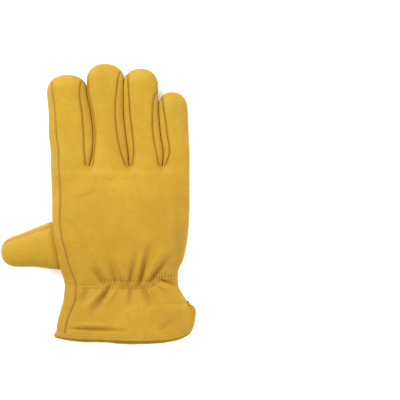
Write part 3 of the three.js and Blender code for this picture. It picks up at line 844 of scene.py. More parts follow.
def hand_plan(form, layer, part, low, down, last_turn):
    """Plan point of the hand or cuff. part goes across from low(y), the left limit, and down from 0 at
    the crotches through 1 at the vent's start to 2 at the hem, where the left limit is at last_turn."""
    vent_y = form.wrist_y - VENT_START * form.sizes.cuff_length
    if down <= 1:
        y = mix(form.crotch_y, vent_y, down)
        return mix(low(y), form.hand(y)["right"], part), y
    top_x, top_y = mix(low(vent_y), form.hand(vent_y)["right"], part), vent_y
    turn = last_turn * (1 - part) ** VENT_SPREAD
    inset = form.seams.binding_leather + form.seams.seam_gap
    end_x, end_y = form.hem(turn, layer, inset)
    stretch = down - 1
    x = mix(top_x, end_x, stretch)
    y = mix(top_y, end_y, stretch)
    straight = mix(low(vent_y), form.hem(last_turn, layer, inset)[0], stretch)
    return x + (low(y) - straight) * (1 - part) ** 6, y


class GloveOperator:
    bl_options = {"REGISTER", "UNDO"}

    @classmethod
    def parts(cls, context):
        scene = context.scene
        return GloveForm(scene.glove_sizes, scene.glove_seams), scene.glove_seams, scene.glove_colours


class GLOVE_OT_back_panel(GloveOperator, bpy.types.Operator):
    """Back of the hand, of the fingers and of the cuff, gathered at the wrist"""

    bl_idname = "glove.back_panel"
    bl_label = "Back panel"

    def execute(self, context):
        form, seams, colours = self.parts(context)
        columns_x = [crotch_x(form, column) for column in range(BACK_COLUMNS + 1)]
        start, end = form.side_seam(form.crotch_y), form.hand(form.crotch_y)["right"]
        parts = [(x - start) / (end - start) for x in columns_x]

        def keep(column, row):
            return row < CROTCH_ROW or column % STRIDE < FINGER_COLUMNS

        def place(column, row):
            if row > CROTCH_ROW or row == CROTCH_ROW and column % STRIDE <= FINGER_COLUMNS:
                return finger_point(column, row - CROTCH_ROW)
            down = way_down(row, CUFF_ROWS, HAND_ROWS)
            x, y = hand_plan(form, "back", parts[column], form.side_seam, down, form.seam_turn)
            y -= crotch_dip(form, columns_x[column]) * smooth(down, CROTCH_FADE, 0)
            z, painted_shade = back_height(x, y)
            fade = smooth(x - form.side_seam(y), 0, GATHER_START)
            fade *= smooth(form.hand(y)["right"] - x, 0, GATHER_END)
            beyond = abs(y - form.shirring(x)) - form.shirring_half(x)
            change = noise.noise(Vector((x / GATHER_PATCH, 0, 1.3)))
            reach = (GATHER_REACH + GATHER_REACH_CHANGE * change) * MM
            gathered = math.exp(-((max(beyond, 0.0) / reach) ** 2)) * fade
            gathered_side = smooth(x, form.wrist_half * WEAK_UP_TO, form.wrist_half * FULL_FROM)
            strength = WEAK_GATHERS + (1 - WEAK_GATHERS) * gathered_side
            wander = GATHER_SWING * math.sin(y / GATHER_WANDER)
            phase = math.cos(2 * math.pi * column / GATHER_COLUMNS + wander)
            z += seams.pucker_depth * gathered * strength * phase
            z -= seams.gather_sink * math.exp(-((max(beyond, 0.0) / SINK_REACH) ** 2)) * fade * strength
            row_near = math.exp(-((beyond / ROW_BREADTH) ** 2)) * fade
            z -= seams.row_depth * row_near
            # Painted shade in the valleys of the fine gathers and along the gathered rows
            in_gather = gathered * strength * GATHER_SHADE * (0.5 - phase / 2)
            painted_shade = max(painted_shade, ROW_SHADE * row_near, in_gather)
            return (x, y, z), painted_shade

        def finger_point(column, row):
            index, place = divmod(column, STRIDE)
            y = finger_y(form, index, row, FINGER_ROWS)
            left, right = form.finger_limits(index, y)
            x = spread_angle(form.finger(index, y), left, right, min(place / FINGER_COLUMNS, 1.0))
            z, painted_shade = back_height(x, y)
            return (x, y, z), painted_shade

        def back_height(x, y):
            z = form.top(x, y) + undulation(x, y) * BACK_SWELL
            depth = 0.0
            if y > form.crotch_y:
                index = min(range(4), key=lambda i: abs(x - sum(form.finger_limits(i, y)) / 2))
                left, right = form.finger_limits(index, y)
                shape = form.finger(index, y)
                if left > shape["left"] + LEAST_EDGE:
                    depth = max(depth, roll(x - left, seams) * (SIDE_SEAM_SHADE if index == 0 else 1))
                if right < shape["right"] - LEAST_EDGE:
                    depth = max(depth, roll(right - x, seams))
            else:
                depth = roll(x - form.side_seam(y), seams) * SIDE_SEAM_SHADE
            # Painted shade in the folds' valleys, and in the seams where an edge rolls down
            fold = clamp(-form.fold(x, y) / form.sizes.fold_depth) if y <= form.crotch_y else 0.0
            # Painted shade below the fingers, for the light that falls off away from them
            darkening = PAINTED_SHADE_BELOW_FINGERS * smooth(form.crotch_y - y, 0, PAINTED_SHADE_BELOW_FINGERS_REACH)
            return z - seams.roll_depth * depth, max(depth, fold * FOLD_SHADE) + darkening

        shape = plate(BACK_COLUMNS, BACK_ROWS, place, keep)
        face_out(shape)
        leather = hide("back_leather_finish", colours)
        finish_piece("back", shape, leather, ["back_panel"], wall=seams.leather)
        return {"FINISHED"}


class Finish:
    """A material under construction: its shader, and textures that read Object coordinates."""

    def __init__(self, name, **values):
        self.material = bpy.data.materials.new(name)
        self.material.use_nodes = True
        self.nodes = self.material.node_tree.nodes
        self.link = self.material.node_tree.links.new
        self.shader = self.nodes["Principled BSDF"].inputs
        for socket, value in values.items():
            self.shader[socket.replace("_", " ")].default_value = value

    def texture(self, kind, scale, **values):
        node = self.nodes.new(kind)
        node.inputs["Scale"].default_value = scale
        for key, value in values.items():
            node.inputs[key].default_value = value
        place = self.nodes.new("ShaderNodeTexCoord")
        self.link(place.outputs["Object"], node.inputs["Vector"])
        return node.outputs

    def ramp(self, source, low, high):
        node = self.nodes.new("ShaderNodeMapRange")
        node.inputs["From Min"].default_value = low
        node.inputs["From Max"].default_value = high
        self.link(source, node.inputs["Value"])
        return node.outputs["Result"]

    def blend(self, factor, first, second):
        node = self.nodes.new("ShaderNodeMix")
        node.data_type = "RGBA"
        self.link(factor, node.inputs["Factor"])
        for socket, value in ((node.inputs[6], first), (node.inputs[7], second)):
            if isinstance(value, bpy.types.NodeSocket):
                self.link(value, socket)
            else:
                socket.default_value = value
        return node.outputs[2]

    def paint(self, colour_socket):
        self.link(colour_socket, self.shader["Base Color"])
        return self.material


def tinted(first, second, part):
    return [mix(low, high, part) for low, high in zip(first, second)]


# Hide: the noise values between which each shade of colour comes in, the attribute values over which the
# painted shade comes in, and its grain
CLOUD_RANGE = (0.36, 0.70)
MOTTLE_RANGE = (0.50, 0.90)
MOTTLE_TINT = 0.20
PAINTED_SHADE_RANGE = (0.10, 1.35)
PORE_SHARE = 0.45
GRAIN_HEIGHT = 0.35 * MM


def hide(name, colours, warmth=0.0):
    """Golden grain leather: broad unevenness, pores and fine wrinkles, with painted shade that darkens it
    in creases, seams, grooves and gaps.
    """
    finish = Finish(name, Roughness=colours.roughness, Specular_IOR_Level=0.20, Sheen_Weight=0.06)
    main = tinted(colours.leather, colours.deep, warmth)
    cloud = finish.texture("ShaderNodeTexNoise", 38.0, Detail=4.0, Roughness=0.6)
    mottle = finish.texture("ShaderNodeTexNoise", 210.0, Detail=3.0, Roughness=0.6)
    surface = finish.blend(finish.ramp(cloud["Fac"], *CLOUD_RANGE), main, list(colours.pale))
    darkening = tinted(main, colours.deep, MOTTLE_TINT)
    surface = finish.blend(finish.ramp(mottle["Fac"], *MOTTLE_RANGE), surface, darkening)
    # Painted shade: this attribute mixes in the deep colour where shade falls, in creases, seams, grooves
    # and gaps, and below the fingers
    painted_shade = finish.nodes.new("ShaderNodeAttribute")
    painted_shade.attribute_name = "painted_shade"
    shade_share = finish.ramp(painted_shade.outputs["Fac"], *PAINTED_SHADE_RANGE)
    surface = finish.blend(shade_share, surface, list(colours.deep))

    pores = finish.texture("ShaderNodeTexVoronoi", 1150.0)
    wrinkles = finish.texture("ShaderNodeTexNoise", 620.0, Detail=5.0, Roughness=0.62)
    height = finish.nodes.new("ShaderNodeMath")
    height.operation = "MULTIPLY_ADD"
    finish.link(pores["Distance"], height.inputs[0])
    height.inputs[1].default_value = PORE_SHARE
    finish.link(wrinkles["Fac"], height.inputs[2])
    bump = finish.nodes.new("ShaderNodeBump")
    bump.inputs["Strength"].default_value = colours.grain
    bump.inputs["Distance"].default_value = GRAIN_HEIGHT
    finish.link(height.outputs["Value"], bump.inputs["Height"])
    finish.link(bump.outputs["Normal"], finish.shader["Normal"])
    return finish.paint(surface)


def darker(tint, part):
    return [channel * part for channel in tint[:3]] + [1.0]


# Cells of the palm's sheet: the strip that wraps up to the side seam, then the sole
STRIP_COLUMNS = 12
SOLE_COLUMNS = 14
SOLE_GAP_COLUMNS = 3
SOLE_STRIDE = SOLE_COLUMNS + SOLE_GAP_COLUMNS
PALM_COLUMNS = STRIP_COLUMNS + 4 * SOLE_COLUMNS + 3 * SOLE_GAP_COLUMNS
PALM_FINGER_ROWS = 120
PALM_HAND_ROWS = 190
PALM_CUFF_ROWS = 64
PALM_ROWS = PALM_FINGER_ROWS + TIP_ROWS + PALM_HAND_ROWS + PALM_CUFF_ROWS
# Painted shade on the strip, darker from the middle of the hand towards the cuff, and over what length it
# comes in full
STRIP_PAINTED_SHADE = 0.24
STRIP_PAINTED_SHADE_REACH = 60 * MM
STRIP_RUN_OUT = 2 * MM

# Ribs: where they are strongest near the gathers, and where below the crotches they grow
# RIB_SHADE is the painted shade in the ribs' valleys
RIB_SHADE = 0.22
RIB_CENTRE = 1 * MM
RIB_GATHERS = 9 * MM
RIB_AT_GATHERS = 0.5
RIB_LEAST = 0.10
RIB_START = 20 * MM
RIB_FULL = 70 * MM

# How the ribs slip along the strip, lean across it and vary in depth
RIB_SLIPS = ((1.7, 7.3 * MM), (0.9, 2.9 * MM))
RIB_LEAN = 0.12
RIB_BEAT = 0.2
RIB_BEAT_RATE = 1.9

# Ribs across the strip: they swell from the seam, and past their end only a share is left
RIB_SWELL = 1.15
RIB_END = 0.87
RIB_PAST_END = 0.4


def ribs(form, y, column):
    """Fine ribs across the strip beside the side seam, closer together at the gathers."""
    at_gathers = math.exp(-(((y - form.wrist_y - RIB_CENTRE) / RIB_GATHERS) ** 2))
    pitch = form.seams.rib_pitch
    slip = sum(turn * math.sin(y / reach) for turn, reach in RIB_SLIPS) + RIB_LEAN * column
    beat = 1 - RIB_BEAT + RIB_BEAT * math.cos(RIB_BEAT_RATE * y / pitch)
    grown = mix(RIB_LEAST, 1, smooth(form.crotch_y - y, RIB_START, RIB_FULL))
    return math.cos(2 * math.pi * y / pitch + slip) * beat * (grown + RIB_AT_GATHERS * at_gathers)


class GLOVE_OT_palm_panel(GloveOperator, bpy.types.Operator):
    """Palm side, which wraps round the index side up to the side seam"""

    bl_idname = "glove.palm_panel"
    bl_label = "Palm panel"

    def execute(self, context):
        form, seams, colours = self.parts(context)
        size = form.sizes
        sole_rows = PALM_HAND_ROWS + PALM_CUFF_ROWS
        inset = seams.binding_leather + seams.seam_gap

        def finger_sole(index, y, part):
            shape = form.finger(index, y)
            left, right = form.finger_limits(index, y)
            if index == 0:
                left = shape["left"]
            return spread_angle(shape, left, right, part)

        def sole_x(column):
            index, place = divmod(column, SOLE_STRIDE)
            y = form.crotch_y
            if place <= SOLE_COLUMNS:
                return finger_sole(index, y, place / SOLE_COLUMNS)
            left = finger_sole(index, y, 1.0)
            right = finger_sole(index + 1, y, 0.0)
            return mix(left, right, (place - SOLE_COLUMNS) / SOLE_GAP_COLUMNS)

        sole_columns = PALM_COLUMNS - STRIP_COLUMNS
        columns_x = [sole_x(column) for column in range(sole_columns + 1)]
        start, end = columns_x[0], columns_x[-1]
        parts = [(x - start) / (end - start) for x in columns_x]

        def keep(column, row):
            if row < sole_rows or column < STRIP_COLUMNS:
                return True
            return (column - STRIP_COLUMNS) % SOLE_STRIDE < SOLE_COLUMNS

        def strip_point(column, row):
            part = column / STRIP_COLUMNS
            if row >= sole_rows:
                y = finger_y(form, 0, row - sole_rows, PALM_FINGER_ROWS)
                shape = form.finger(0, y)
                seam = form.finger_limits(0, y)[0]
            else:
                down = way_down(row, PALM_CUFF_ROWS, PALM_HAND_ROWS)
                if down <= 1:
                    y = hand_plan(form, "back", 0, form.side_seam, down, form.seam_turn)[1]
                else:
                    turn = mix(form.seam_turn, 1.0, part)
                    vent_y = form.wrist_y - VENT_START * size.cuff_length
                    y = mix(vent_y, form.hem(turn, "back", inset)[1], down - 1)
                shape = form.hand(y)
                seam = form.side_seam(y)
            x = spread_angle(shape, seam, shape["left"], part)
            z = form.crown(shape, form.across(shape, x))
            if y > form.crotch_y - size.finger_root_length:
                z = form.top(x, y)
            runs_out = smooth(seam - shape["left"], 0, STRIP_RUN_OUT)
            edge = roll(seam - x, seams) * runs_out * SIDE_SEAM_SHADE
            ribbed = math.sin(math.pi * clamp(part * RIB_SWELL)) if part < RIB_END else RIB_PAST_END
            wave = ribs(form, y, column) * ribbed * runs_out
            relief = seams.rib_depth * wave
            outward = smooth(part, 0.5, 1.0)
            # Painted shade in the ribs' valleys, at the side seam, and darker towards the cuff
            darkening = STRIP_PAINTED_SHADE * smooth(-y, 0.0, STRIP_PAINTED_SHADE_REACH)
            painted_shade = max(edge, RIB_SHADE * clamp(-wave)) + darkening
            z += relief * (1 - outward) - seams.roll_depth * edge
            return (x - relief * outward, y, z), painted_shade

        def place(column, row):
            if column <= STRIP_COLUMNS:
                return strip_point(column, row)
            column -= STRIP_COLUMNS
            if row > sole_rows or row == sole_rows and column % SOLE_STRIDE <= SOLE_COLUMNS:
                index, place_in = divmod(column, SOLE_STRIDE)
                y = finger_y(form, index, row - sole_rows, PALM_FINGER_ROWS)
                x = finger_sole(index, y, min(place_in / SOLE_COLUMNS, 1.0))
                shape = form.finger(index, y)
                return (x, y, form.sole(shape, form.across(shape, x))), 0.0
            down = way_down(row, PALM_CUFF_ROWS, PALM_HAND_ROWS)
            x, y = hand_plan(form, "palm", parts[column], form.left_edge, down, 1.0)
            y -= crotch_dip(form, columns_x[column]) * smooth(down, CROTCH_FADE, 0)
            return (x, y, form.under(x, y)), 0.0

        shape = plate(PALM_COLUMNS, PALM_ROWS, place, keep)
        cut_thumb_hole(form, shape)
        face_out(shape, lowest=True)
        leather = hide("palm_leather_finish", colours, warmth=0.08)
        finish_piece("palm", shape, leather, ["palm_panel"], wall=seams.leather)
        return {"FINISHED"}


# Thumb's patch: it starts inside the hand's edge, a little narrower there, and the hole for it is
# narrower still, by different shares on the finger's and on the wrist's side
ROOT_INSIDE = 1.5 * MM
PATCH_ROOT_WIDTH = 0.82
PATCH_FULL_REACH = 0.3
PATCH_ROUND = 2.5
HOLE_HEIGHT = 7.3 * MM
HOLE_FLAT = 2 * MM
HOLE_EDGE = ROOT_INSIDE + 4.5 * MM
HOLE_TRIM_EDGE = ROOT_INSIDE + 4 * MM
HOLE_FINGER_SIDE = 0.84
HOLE_WRIST_SIDE = 0.78
HOLE_SHARE = 0.988
HOLE_TRIM_REACH = 0.20
HOLE_TRIM_ROUNDS = 4


def patch_width(form, x):
    """Half width that the thumb's patch would have without its round end."""
    reach = clamp((x - form.thumb_edge_x) / form.sizes.thumb_patch_reach)
    return form.sizes.thumb_patch_width / 2 * mix(PATCH_ROOT_WIDTH, 1, smooth(reach, 0, PATCH_FULL_REACH))


def patch_share(form, x, y):
    """How far out a plan point lies in the thumb's patch: 1 on its outline."""
    reach = max(x - form.thumb_edge_x, 0.0) / form.sizes.thumb_patch_reach
    return math.hypot(reach ** (PATCH_ROUND / 2), (y - form.thumb_y) / patch_width(form, x))


def cut_thumb_hole(form, shape):
    """Opens the palm where the thumb's patch is set in, and trims the hole's edge to the patch."""
    inside = []
    for face in shape.faces:
        middle = face.calc_center_median()
        if middle.z < HOLE_HEIGHT and middle.x < form.thumb_edge_x + form.sizes.thumb_patch_reach:
            narrow = 1.0
            if middle.x < form.hand(middle.y)["left"] + HOLE_EDGE:
                narrow = HOLE_FINGER_SIDE if middle.y > form.thumb_y else HOLE_WRIST_SIDE
            if patch_share(form, middle.x, middle.y) < narrow:
                inside.append(face)
    bmesh.ops.delete(shape, geom=inside, context="FACES")
    for vertex in shape.verts:
        point = vertex.co
        if not vertex.is_boundary or point.z > HOLE_FLAT:
            continue
        if point.x < form.hand(point.y)["left"] + HOLE_TRIM_EDGE:
            continue
        for _ in range(HOLE_TRIM_ROUNDS):
            out = patch_share(form, point.x, point.y)
            if abs(out - 1) >= HOLE_TRIM_REACH:
                break
            grown = HOLE_SHARE / out
            point.x = form.thumb_edge_x + (point.x - form.thumb_edge_x) * grown
            point.y = form.thumb_y + (point.y - form.thumb_y) * grown


FORK_ROWS = 80
FORK_TURN_ROWS = 10
FORK_COLUMNS = 18

# A strip ends where it has run out beside the fingertip, and turns at the crotch in a small V
LEAST_STRIP = 0.3 * MM
STRIP_STEP = 0.2 * MM
STRIP_SEARCH_START = 0.6
STRIP_CROWDING = 1.3
STRIP_CLEARANCE = 0.005 * MM
TURN_DIP = 0.8 * MM
TURN_REACH = 4 * MM
UNDERSIDE_ROLL = 0.4
# Painted shade where a strip lies against the next finger's strip
TOUCH_SHADE = 0.9

# Shares of a strip's breadth, from the back's edge to the palm's: where it starts to lie against the
# next finger's strip, and where its turn goes down from the back to the palm
STRIP_CLOSING = 0.40
TURN_START = 0.4
TURN_SHARE = 0.2


class GLOVE_OT_fourchettes(GloveOperator, bpy.types.Operator):
    """Three strips that run up both sides of the gaps between the fingers"""

    bl_idname = "glove.fourchettes"
    bl_label = "Fourchettes"

    def execute(self, context):
        form, seams, colours = self.parts(context)
        leather = hide("fourchette_leather_finish", colours, warmth=0.06)
        for row in FOURCHETTES:
            shape = self.strip(form, seams, row["gap"])
            finish_piece(row["name"] + "_strip", shape, leather, [row["name"]],
                         wall=seams.leather)
        return {"FINISHED"}

    def strip(self, form, seams, gap):
        def edge_and_wall(index, y):
            shape = form.finger(index, y)
            limits = form.finger_limits(index, y)
            return (limits[1], shape["right"]) if index == gap - 1 else (limits[0], shape["left"])

        def strip_end(index):
            """Where the strip has run out to nothing beside a finger."""
            y = form.crotch_y + form.lengths[index] * STRIP_SEARCH_START
            edge, wall = edge_and_wall(index, y)
            while abs(wall - edge) > LEAST_STRIP:
                y += STRIP_STEP
                edge, wall = edge_and_wall(index, y)
            return y

        end_ys = (strip_end(gap - 1), strip_end(gap))

        def side_point(index, y, across):
            """Point on the side of a finger: across goes from the back's edge at 0 to the palm's at 1."""
            shape = form.finger(index, y)
            edge, wall = edge_and_wall(index, y)
            if across <= 0.5:
                x = spread_angle(shape, edge, wall, across * 2)
                z = form.crown(shape, form.across(shape, x))
            else:
                x = spread_angle(shape, wall, edge, across * 2 - 1)
                z = form.sole(shape, form.across(shape, x))
            closer = (form.sizes.finger_gap / 2 - STRIP_CLEARANCE) * smooth(across, STRIP_CLOSING, 0.5)
            held = clamp(x, shape["low_limit"] - closer, shape["high_limit"] + closer)
            return held, z, abs(x - edge), abs(x - wall)

        def place(column, row):
            across = column / FORK_COLUMNS
            if row <= FORK_ROWS:
                part = 1 - row / FORK_ROWS
                y = mix(form.crotch_y, end_ys[0], 1 - (1 - part) ** STRIP_CROWDING)
                x, z, away, to_wall = side_point(gap - 1, y, across)
            elif row >= FORK_ROWS + FORK_TURN_ROWS:
                part = (row - FORK_ROWS - FORK_TURN_ROWS) / FORK_ROWS
                y = mix(form.crotch_y, end_ys[1], 1 - (1 - part) ** STRIP_CROWDING)
                x, z, away, to_wall = side_point(gap, y, across)
            else:
                turn = (row - FORK_ROWS) / FORK_TURN_ROWS
                first = side_point(gap - 1, form.crotch_y, across)
                second = side_point(gap, form.crotch_y, across)
                x = mix(first[0], second[0], turn)
                outer = abs(across - 0.5) * 2
                dip = crotch_dip(form, mix(form.edges[gap], x, outer)) + TURN_DIP
                y = form.crotch_y - dip * outer**1.5
                z = mix(form.top(x, y), form.under(x, y), clamp((across - TURN_START) / TURN_SHARE))
                away = mix(first[2], second[2], turn) + (1 - outer) * TURN_REACH
                to_wall = mix(first[3], second[3], turn)
            edge = roll(away, seams)
            z -= seams.roll_depth * edge * (1 if across <= 0.5 else -UNDERSIDE_ROLL)
            # Painted shade in the seam's roll and where the strip lies against its neighbour
            touching = math.exp(-((to_wall / form.sizes.finger_press) ** 2))
            seam_shade = edge * (1 if across <= 0.5 else UNDERSIDE_ROLL)
            return (x, y, z), max(seam_shade, TOUCH_SHADE * touching)

        shape = plate(FORK_COLUMNS, FORK_ROWS * 2 + FORK_TURN_ROWS, place)
        face_out(shape)
        return shape


THUMB_COLUMNS = 48
THUMB_ROWS = 56
PATCH_ROWS = 22
THUMB_STRAIGHT = 0.7

# Thumb's seam along the side that faces the fingers, and the shade where it comes out of the palm
THUMB_SEAM_PLACE = 0.80
THUMB_SEAM_BREADTH = 0.07
THUMB_SEAM_DEPTH = 0.7 * MM
THUMB_SEAM_SHADE = 0.8
TIP_CLOSING = 4 * MM
ROOT_SHADE = 0.55
ROOT_SHADE_START = 0.5 * MM
ROOT_SHADE_END = 7 * MM
ROOT_FOLLOW = 20 * MM
THUMB_SWELL = 0.6
THUMB_SWELL_SEED = 5.0

# Over what share of its reach the patch spreads out and comes down flat, and its rolled rim
PATCH_SPREAD_REACH = 0.25
PATCH_SINK_REACH = 0.12
PATCH_RIM_REACH = 0.5
PATCH_RIM_DEPTH = 0.5 * MM
# PATCH_RIM_SHADE is the painted shade along the patch's rolled rim
PATCH_RIM_SHADE = 0.7


class GLOVE_OT_thumb(GloveOperator, bpy.types.Operator):
    """Thumb with the patch that sets it into the palm"""

    bl_idname = "glove.thumb"
    bl_label = "Thumb"

    def execute(self, context):
        form, seams, colours = self.parts(context)
        size = form.sizes
        tip = size.thumb_length

        def section(out):
            wide = tip_round(tip - out, size.thumb_tip_length, THUMB_CURVE["tip_plan"])
            high = tip_round(tip - out, size.thumb_tip_length, THUMB_CURVE["tip_side"])
            along = out / tip
            middle = glide(THUMB_TABLE, "along", "middle", along) * size.thumb_width
            half = glide(THUMB_TABLE, "along", "half", along) * size.thumb_width * wide
            level = size.thumb_height * THUMB_LEVEL
            return {
                "left": middle - half,
                "right": middle + half,
                "top": mix(level, size.thumb_height * glide(THUMB_TABLE, "along", "height", along), high),
                "bottom": level * (1 - tip_round(tip - out, size.thumb_tip_length * 0.5, 2.0)),
                "left_level": level,
                "right_level": level,
                "droop": 0.0,
                **THUMB_CURVE,
            }

        def keep(column, row):
            return row >= PATCH_ROWS or column < THUMB_COLUMNS / 2

        def place(column, row):
            sole_part = column * 2 / THUMB_COLUMNS
            if row < PATCH_ROWS:
                reach = math.cos(math.pi / 2 * row / PATCH_ROWS)
                shape = section(-ROOT_INSIDE)
                share_at = -math.cos(math.pi * min(sole_part, 1.0))
                y_tube = mix(shape["left"], shape["right"], (share_at + 1) / 2)
                start = form.hand(form.thumb_y + y_tube)["left"] + ROOT_INSIDE
                x = mix(start, form.thumb_edge_x + size.thumb_patch_reach, reach)
                along = clamp((x - form.thumb_edge_x) / size.thumb_patch_reach)
                half = patch_width(form, x) * math.sqrt(1 - along**PATCH_ROUND)
                y = mix(y_tube, half * share_at, smooth(reach, 0.0, PATCH_SPREAD_REACH))
                z_tube = form.sole(shape, share_at)
                z = mix(z_tube, 0.0, smooth(reach, 0.0, PATCH_SINK_REACH))
                inwards = 1 - patch_share(form, x, form.thumb_y + y)
                # Painted shade along the patch's rolled rim
                rim = roll(inwards * size.thumb_patch_reach * PATCH_RIM_REACH, seams)
                return (x, form.thumb_y + y, z + PATCH_RIM_DEPTH * rim), PATCH_RIM_SHADE * rim
            part = (row - PATCH_ROWS) / THUMB_ROWS
            if part <= THUMB_STRAIGHT:
                out = mix(-ROOT_INSIDE, tip - size.thumb_tip_length, part / THUMB_STRAIGHT)
            else:
                angle = math.pi / 2 * (part - THUMB_STRAIGHT) / (1 - THUMB_STRAIGHT)
                out = tip - size.thumb_tip_length * (1 - math.sin(angle))
            shape = section(out)
            if sole_part <= 1:
                share_at = -math.cos(math.pi * sole_part)
                z = form.sole(shape, share_at)
                painted_shade = 0.0
            else:
                share_at = math.cos(math.pi * (sole_part - 1))
                z = form.crown(shape, share_at)
                x_now = mix(shape["left"], shape["right"], (share_at + 1) / 2)
                closing = smooth(tip - out, 0, TIP_CLOSING)
                swell = undulation(out, x_now, THUMB_SWELL_SEED) * THUMB_SWELL
                z += swell * clamp(1 - abs(share_at) ** 4) * closing
                off_seam = (share_at - THUMB_SEAM_PLACE) / THUMB_SEAM_BREADTH
                seam = math.exp(-(off_seam**2)) * closing
                z -= THUMB_SEAM_DEPTH * seam
                # Painted shadow where the thumb comes out from under the hand's edge, and painted shade in
                # its seam
                root_shade = ROOT_SHADE * (1 - smooth(out, ROOT_SHADE_START, ROOT_SHADE_END))
                painted_shade = max(THUMB_SEAM_SHADE * seam, root_shade)
            across = mix(shape["left"], shape["right"], (share_at + 1) / 2)
            y = form.thumb_y + across
            root = (form.hand(y)["left"] - form.thumb_edge_x) * (1 - smooth(out, 0, ROOT_FOLLOW))
            return (form.thumb_edge_x - out + root, y, z), painted_shade

        shape = plate(THUMB_COLUMNS, THUMB_ROWS + PATCH_ROWS, place, keep)
        face_out(shape)
        leather = hide("thumb_leather_finish", colours)
        finish_piece("thumb_and_patch", shape, leather, ["thumb"], wall=seams.leather)
        return {"FINISHED"}


BINDING_RINGS = 420
BINDING_SIDES = 20
BINDING_OVERHANG = 0.3 * MM
BINDING_PROUD = 0.2 * MM
BINDING_SWAYS = ((0.10 * MM, 61, 0), (0.08 * MM, 143, 1))
BINDING_SQUARE = 0.75
BINDING_PUCKERS = 118
PUCKER_HEIGHT = 0.06
GROOVE_PLACE = 0.25
GROOVE_BREADTH = 0.25
GROOVE_DEPTH = 0.45 * MM

# Place along the hem where the binding goes down from the back to the palm at the vent, the share of
# its loop that this takes, and the way it faces there
VENT_TOP = 0.036
VENT_JOIN = 0.012
VENT_FACING = (0.78, 0.62, 0.4)
VENT_WIDENING = 1.15

VENT_NEAR = 0.008
VENT_AWAY = 0.03

# How far the bound edge draws in at the index side, over the last part of the hem
CORNER_INSET = 0.35
CORNER_REACH = 0.04

# How sharply the binding turns over at the hem's ends, and how many rings on either side of one give
# its direction, at the vent and elsewhere
SIDE_TURN = 7
RINGS_AT_VENT = 2.0
RINGS_AWAY = 0.5

# Puckers on the outer edge against those on the inner one, and the painted shade in the binding's groove
# and along its two edges
OUTER_PUCKERS = 0.3
GROOVE_SHADE = 0.8
INNER_EDGE_SHADE = 0.7
OUTER_EDGE_SHADE = 0.35


def hem_path(form, part, inset):
    """Point and outward direction on the hem's closed loop: the back's hem from the index side to the
    vent, down to the palm, then the palm's hem back again."""
    past_vent = part - 0.5
    if abs(past_vent) < VENT_JOIN:
        down = (past_vent / VENT_JOIN + 1) / 2
        ends = []
        for layer, height in (("back", form.top), ("palm", form.under)):
            x, y = form.hem(VENT_TOP, layer, inset)
            ends.append(Vector((x, y, height(x, y))))
        face_x, face_y, face_z = VENT_FACING
        facing = Vector((face_x, face_y, mix(face_z, -face_z, down))).normalized()
        return ends[0].lerp(ends[1], down), facing
    turn = mix(VENT_TOP, 1, (abs(past_vent) - VENT_JOIN) / (0.5 - VENT_JOIN))
    layer, up = ("back", 1) if past_vent < 0 else ("palm", -1)
    x, y = form.hem(turn, layer, inset * mix(CORNER_INSET, 1, smooth(1 - turn, 0, CORNER_REACH)))
    across = form.across(form.hand(y), x)
    z = form.top(x, y) if up > 0 else form.under(x, y)
    steep = abs(across) ** SIDE_TURN
    outward = Vector((math.copysign(steep, across), 0, up * (1 - steep) + 1e-4)).normalized()
    return Vector((x, y, z)), outward


class GLOVE_OT_cuff_binding(GloveOperator, bpy.types.Operator):
    """Leather strip folded over the raw edge of the cuff and stitched down"""

    bl_idname = "glove.cuff_binding"
    bl_label = "Cuff binding"

    def execute(self, context):
        form, seams, colours = self.parts(context)
        half_width = seams.binding_width / 2 + BINDING_OVERHANG
        half_height = seams.leather / 2 + seams.binding_leather
        inset = half_width - BINDING_PROUD

        def place(column, row):
            part = row / BINDING_RINGS % 1.0
            away_from_vent = smooth(abs(part - 0.5), VENT_NEAR, VENT_AWAY)
            step = mix(RINGS_AT_VENT, RINGS_AWAY, away_from_vent) / BINDING_RINGS
            point, outward = hem_path(form, part, inset)
            ahead, _ = hem_path(form, (part + step) % 1.0, inset)
            behind, _ = hem_path(form, (part - step) % 1.0, inset)
            along = (ahead - behind).normalized()
            inward = outward.cross(along).normalized()
            outward = along.cross(inward).normalized()
            angle = 2 * math.pi * (column % BINDING_SIDES) / BINDING_SIDES
            cos, sin = math.cos(angle), math.sin(angle)
            wide = math.copysign(abs(cos) ** BINDING_SQUARE, cos) * mix(VENT_WIDENING, 1, away_from_vent)
            high = math.copysign(abs(sin) ** BINDING_SQUARE, sin)
            wave = math.cos(2 * math.pi * part * BINDING_PUCKERS) * (1 if cos > 0 else OUTER_PUCKERS)
            lift = high * half_height * (1 + PUCKER_HEIGHT * wave)
            sway = sum(size * math.sin(part * turns + start) for size, turns, start in BINDING_SWAYS)
            middle = point - outward * seams.leather / 2
            place_at = middle + inward * (wide * half_width + sway) + outward * lift
            place_at.z = max(place_at.z, 0.0)
            off_groove = (cos - GROOVE_PLACE) / GROOVE_BREADTH
            groove = math.exp(-(off_groove**2)) if sin > 0 else 0.0
            place_at -= outward * groove * GROOVE_DEPTH
            # Painted shade in the groove and along the binding's inner and outer edges
            inner_edge = INNER_EDGE_SHADE * clamp(cos * 5 - 4)
            outer_edge = OUTER_EDGE_SHADE * clamp(-cos * 4 - 3)
            return place_at, max(groove * GROOVE_SHADE, inner_edge, outer_edge)

        shape = plate(BINDING_SIDES, BINDING_RINGS, place)
        face_out(shape)
        leather = hide("binding_leather_finish", colours, warmth=0.10)
        finish_piece("binding", shape, leather, ["cuff_binding"])
        return {"FINISHED"}


ELASTIC_COLUMNS = 90
ELASTIC_ROWS = 12
ELASTIC_RIB = 0.12 * MM
ELASTIC_START = 4 * MM
ELASTIC_END = 8 * MM
ELASTIC_SINK = 0.9 * MM


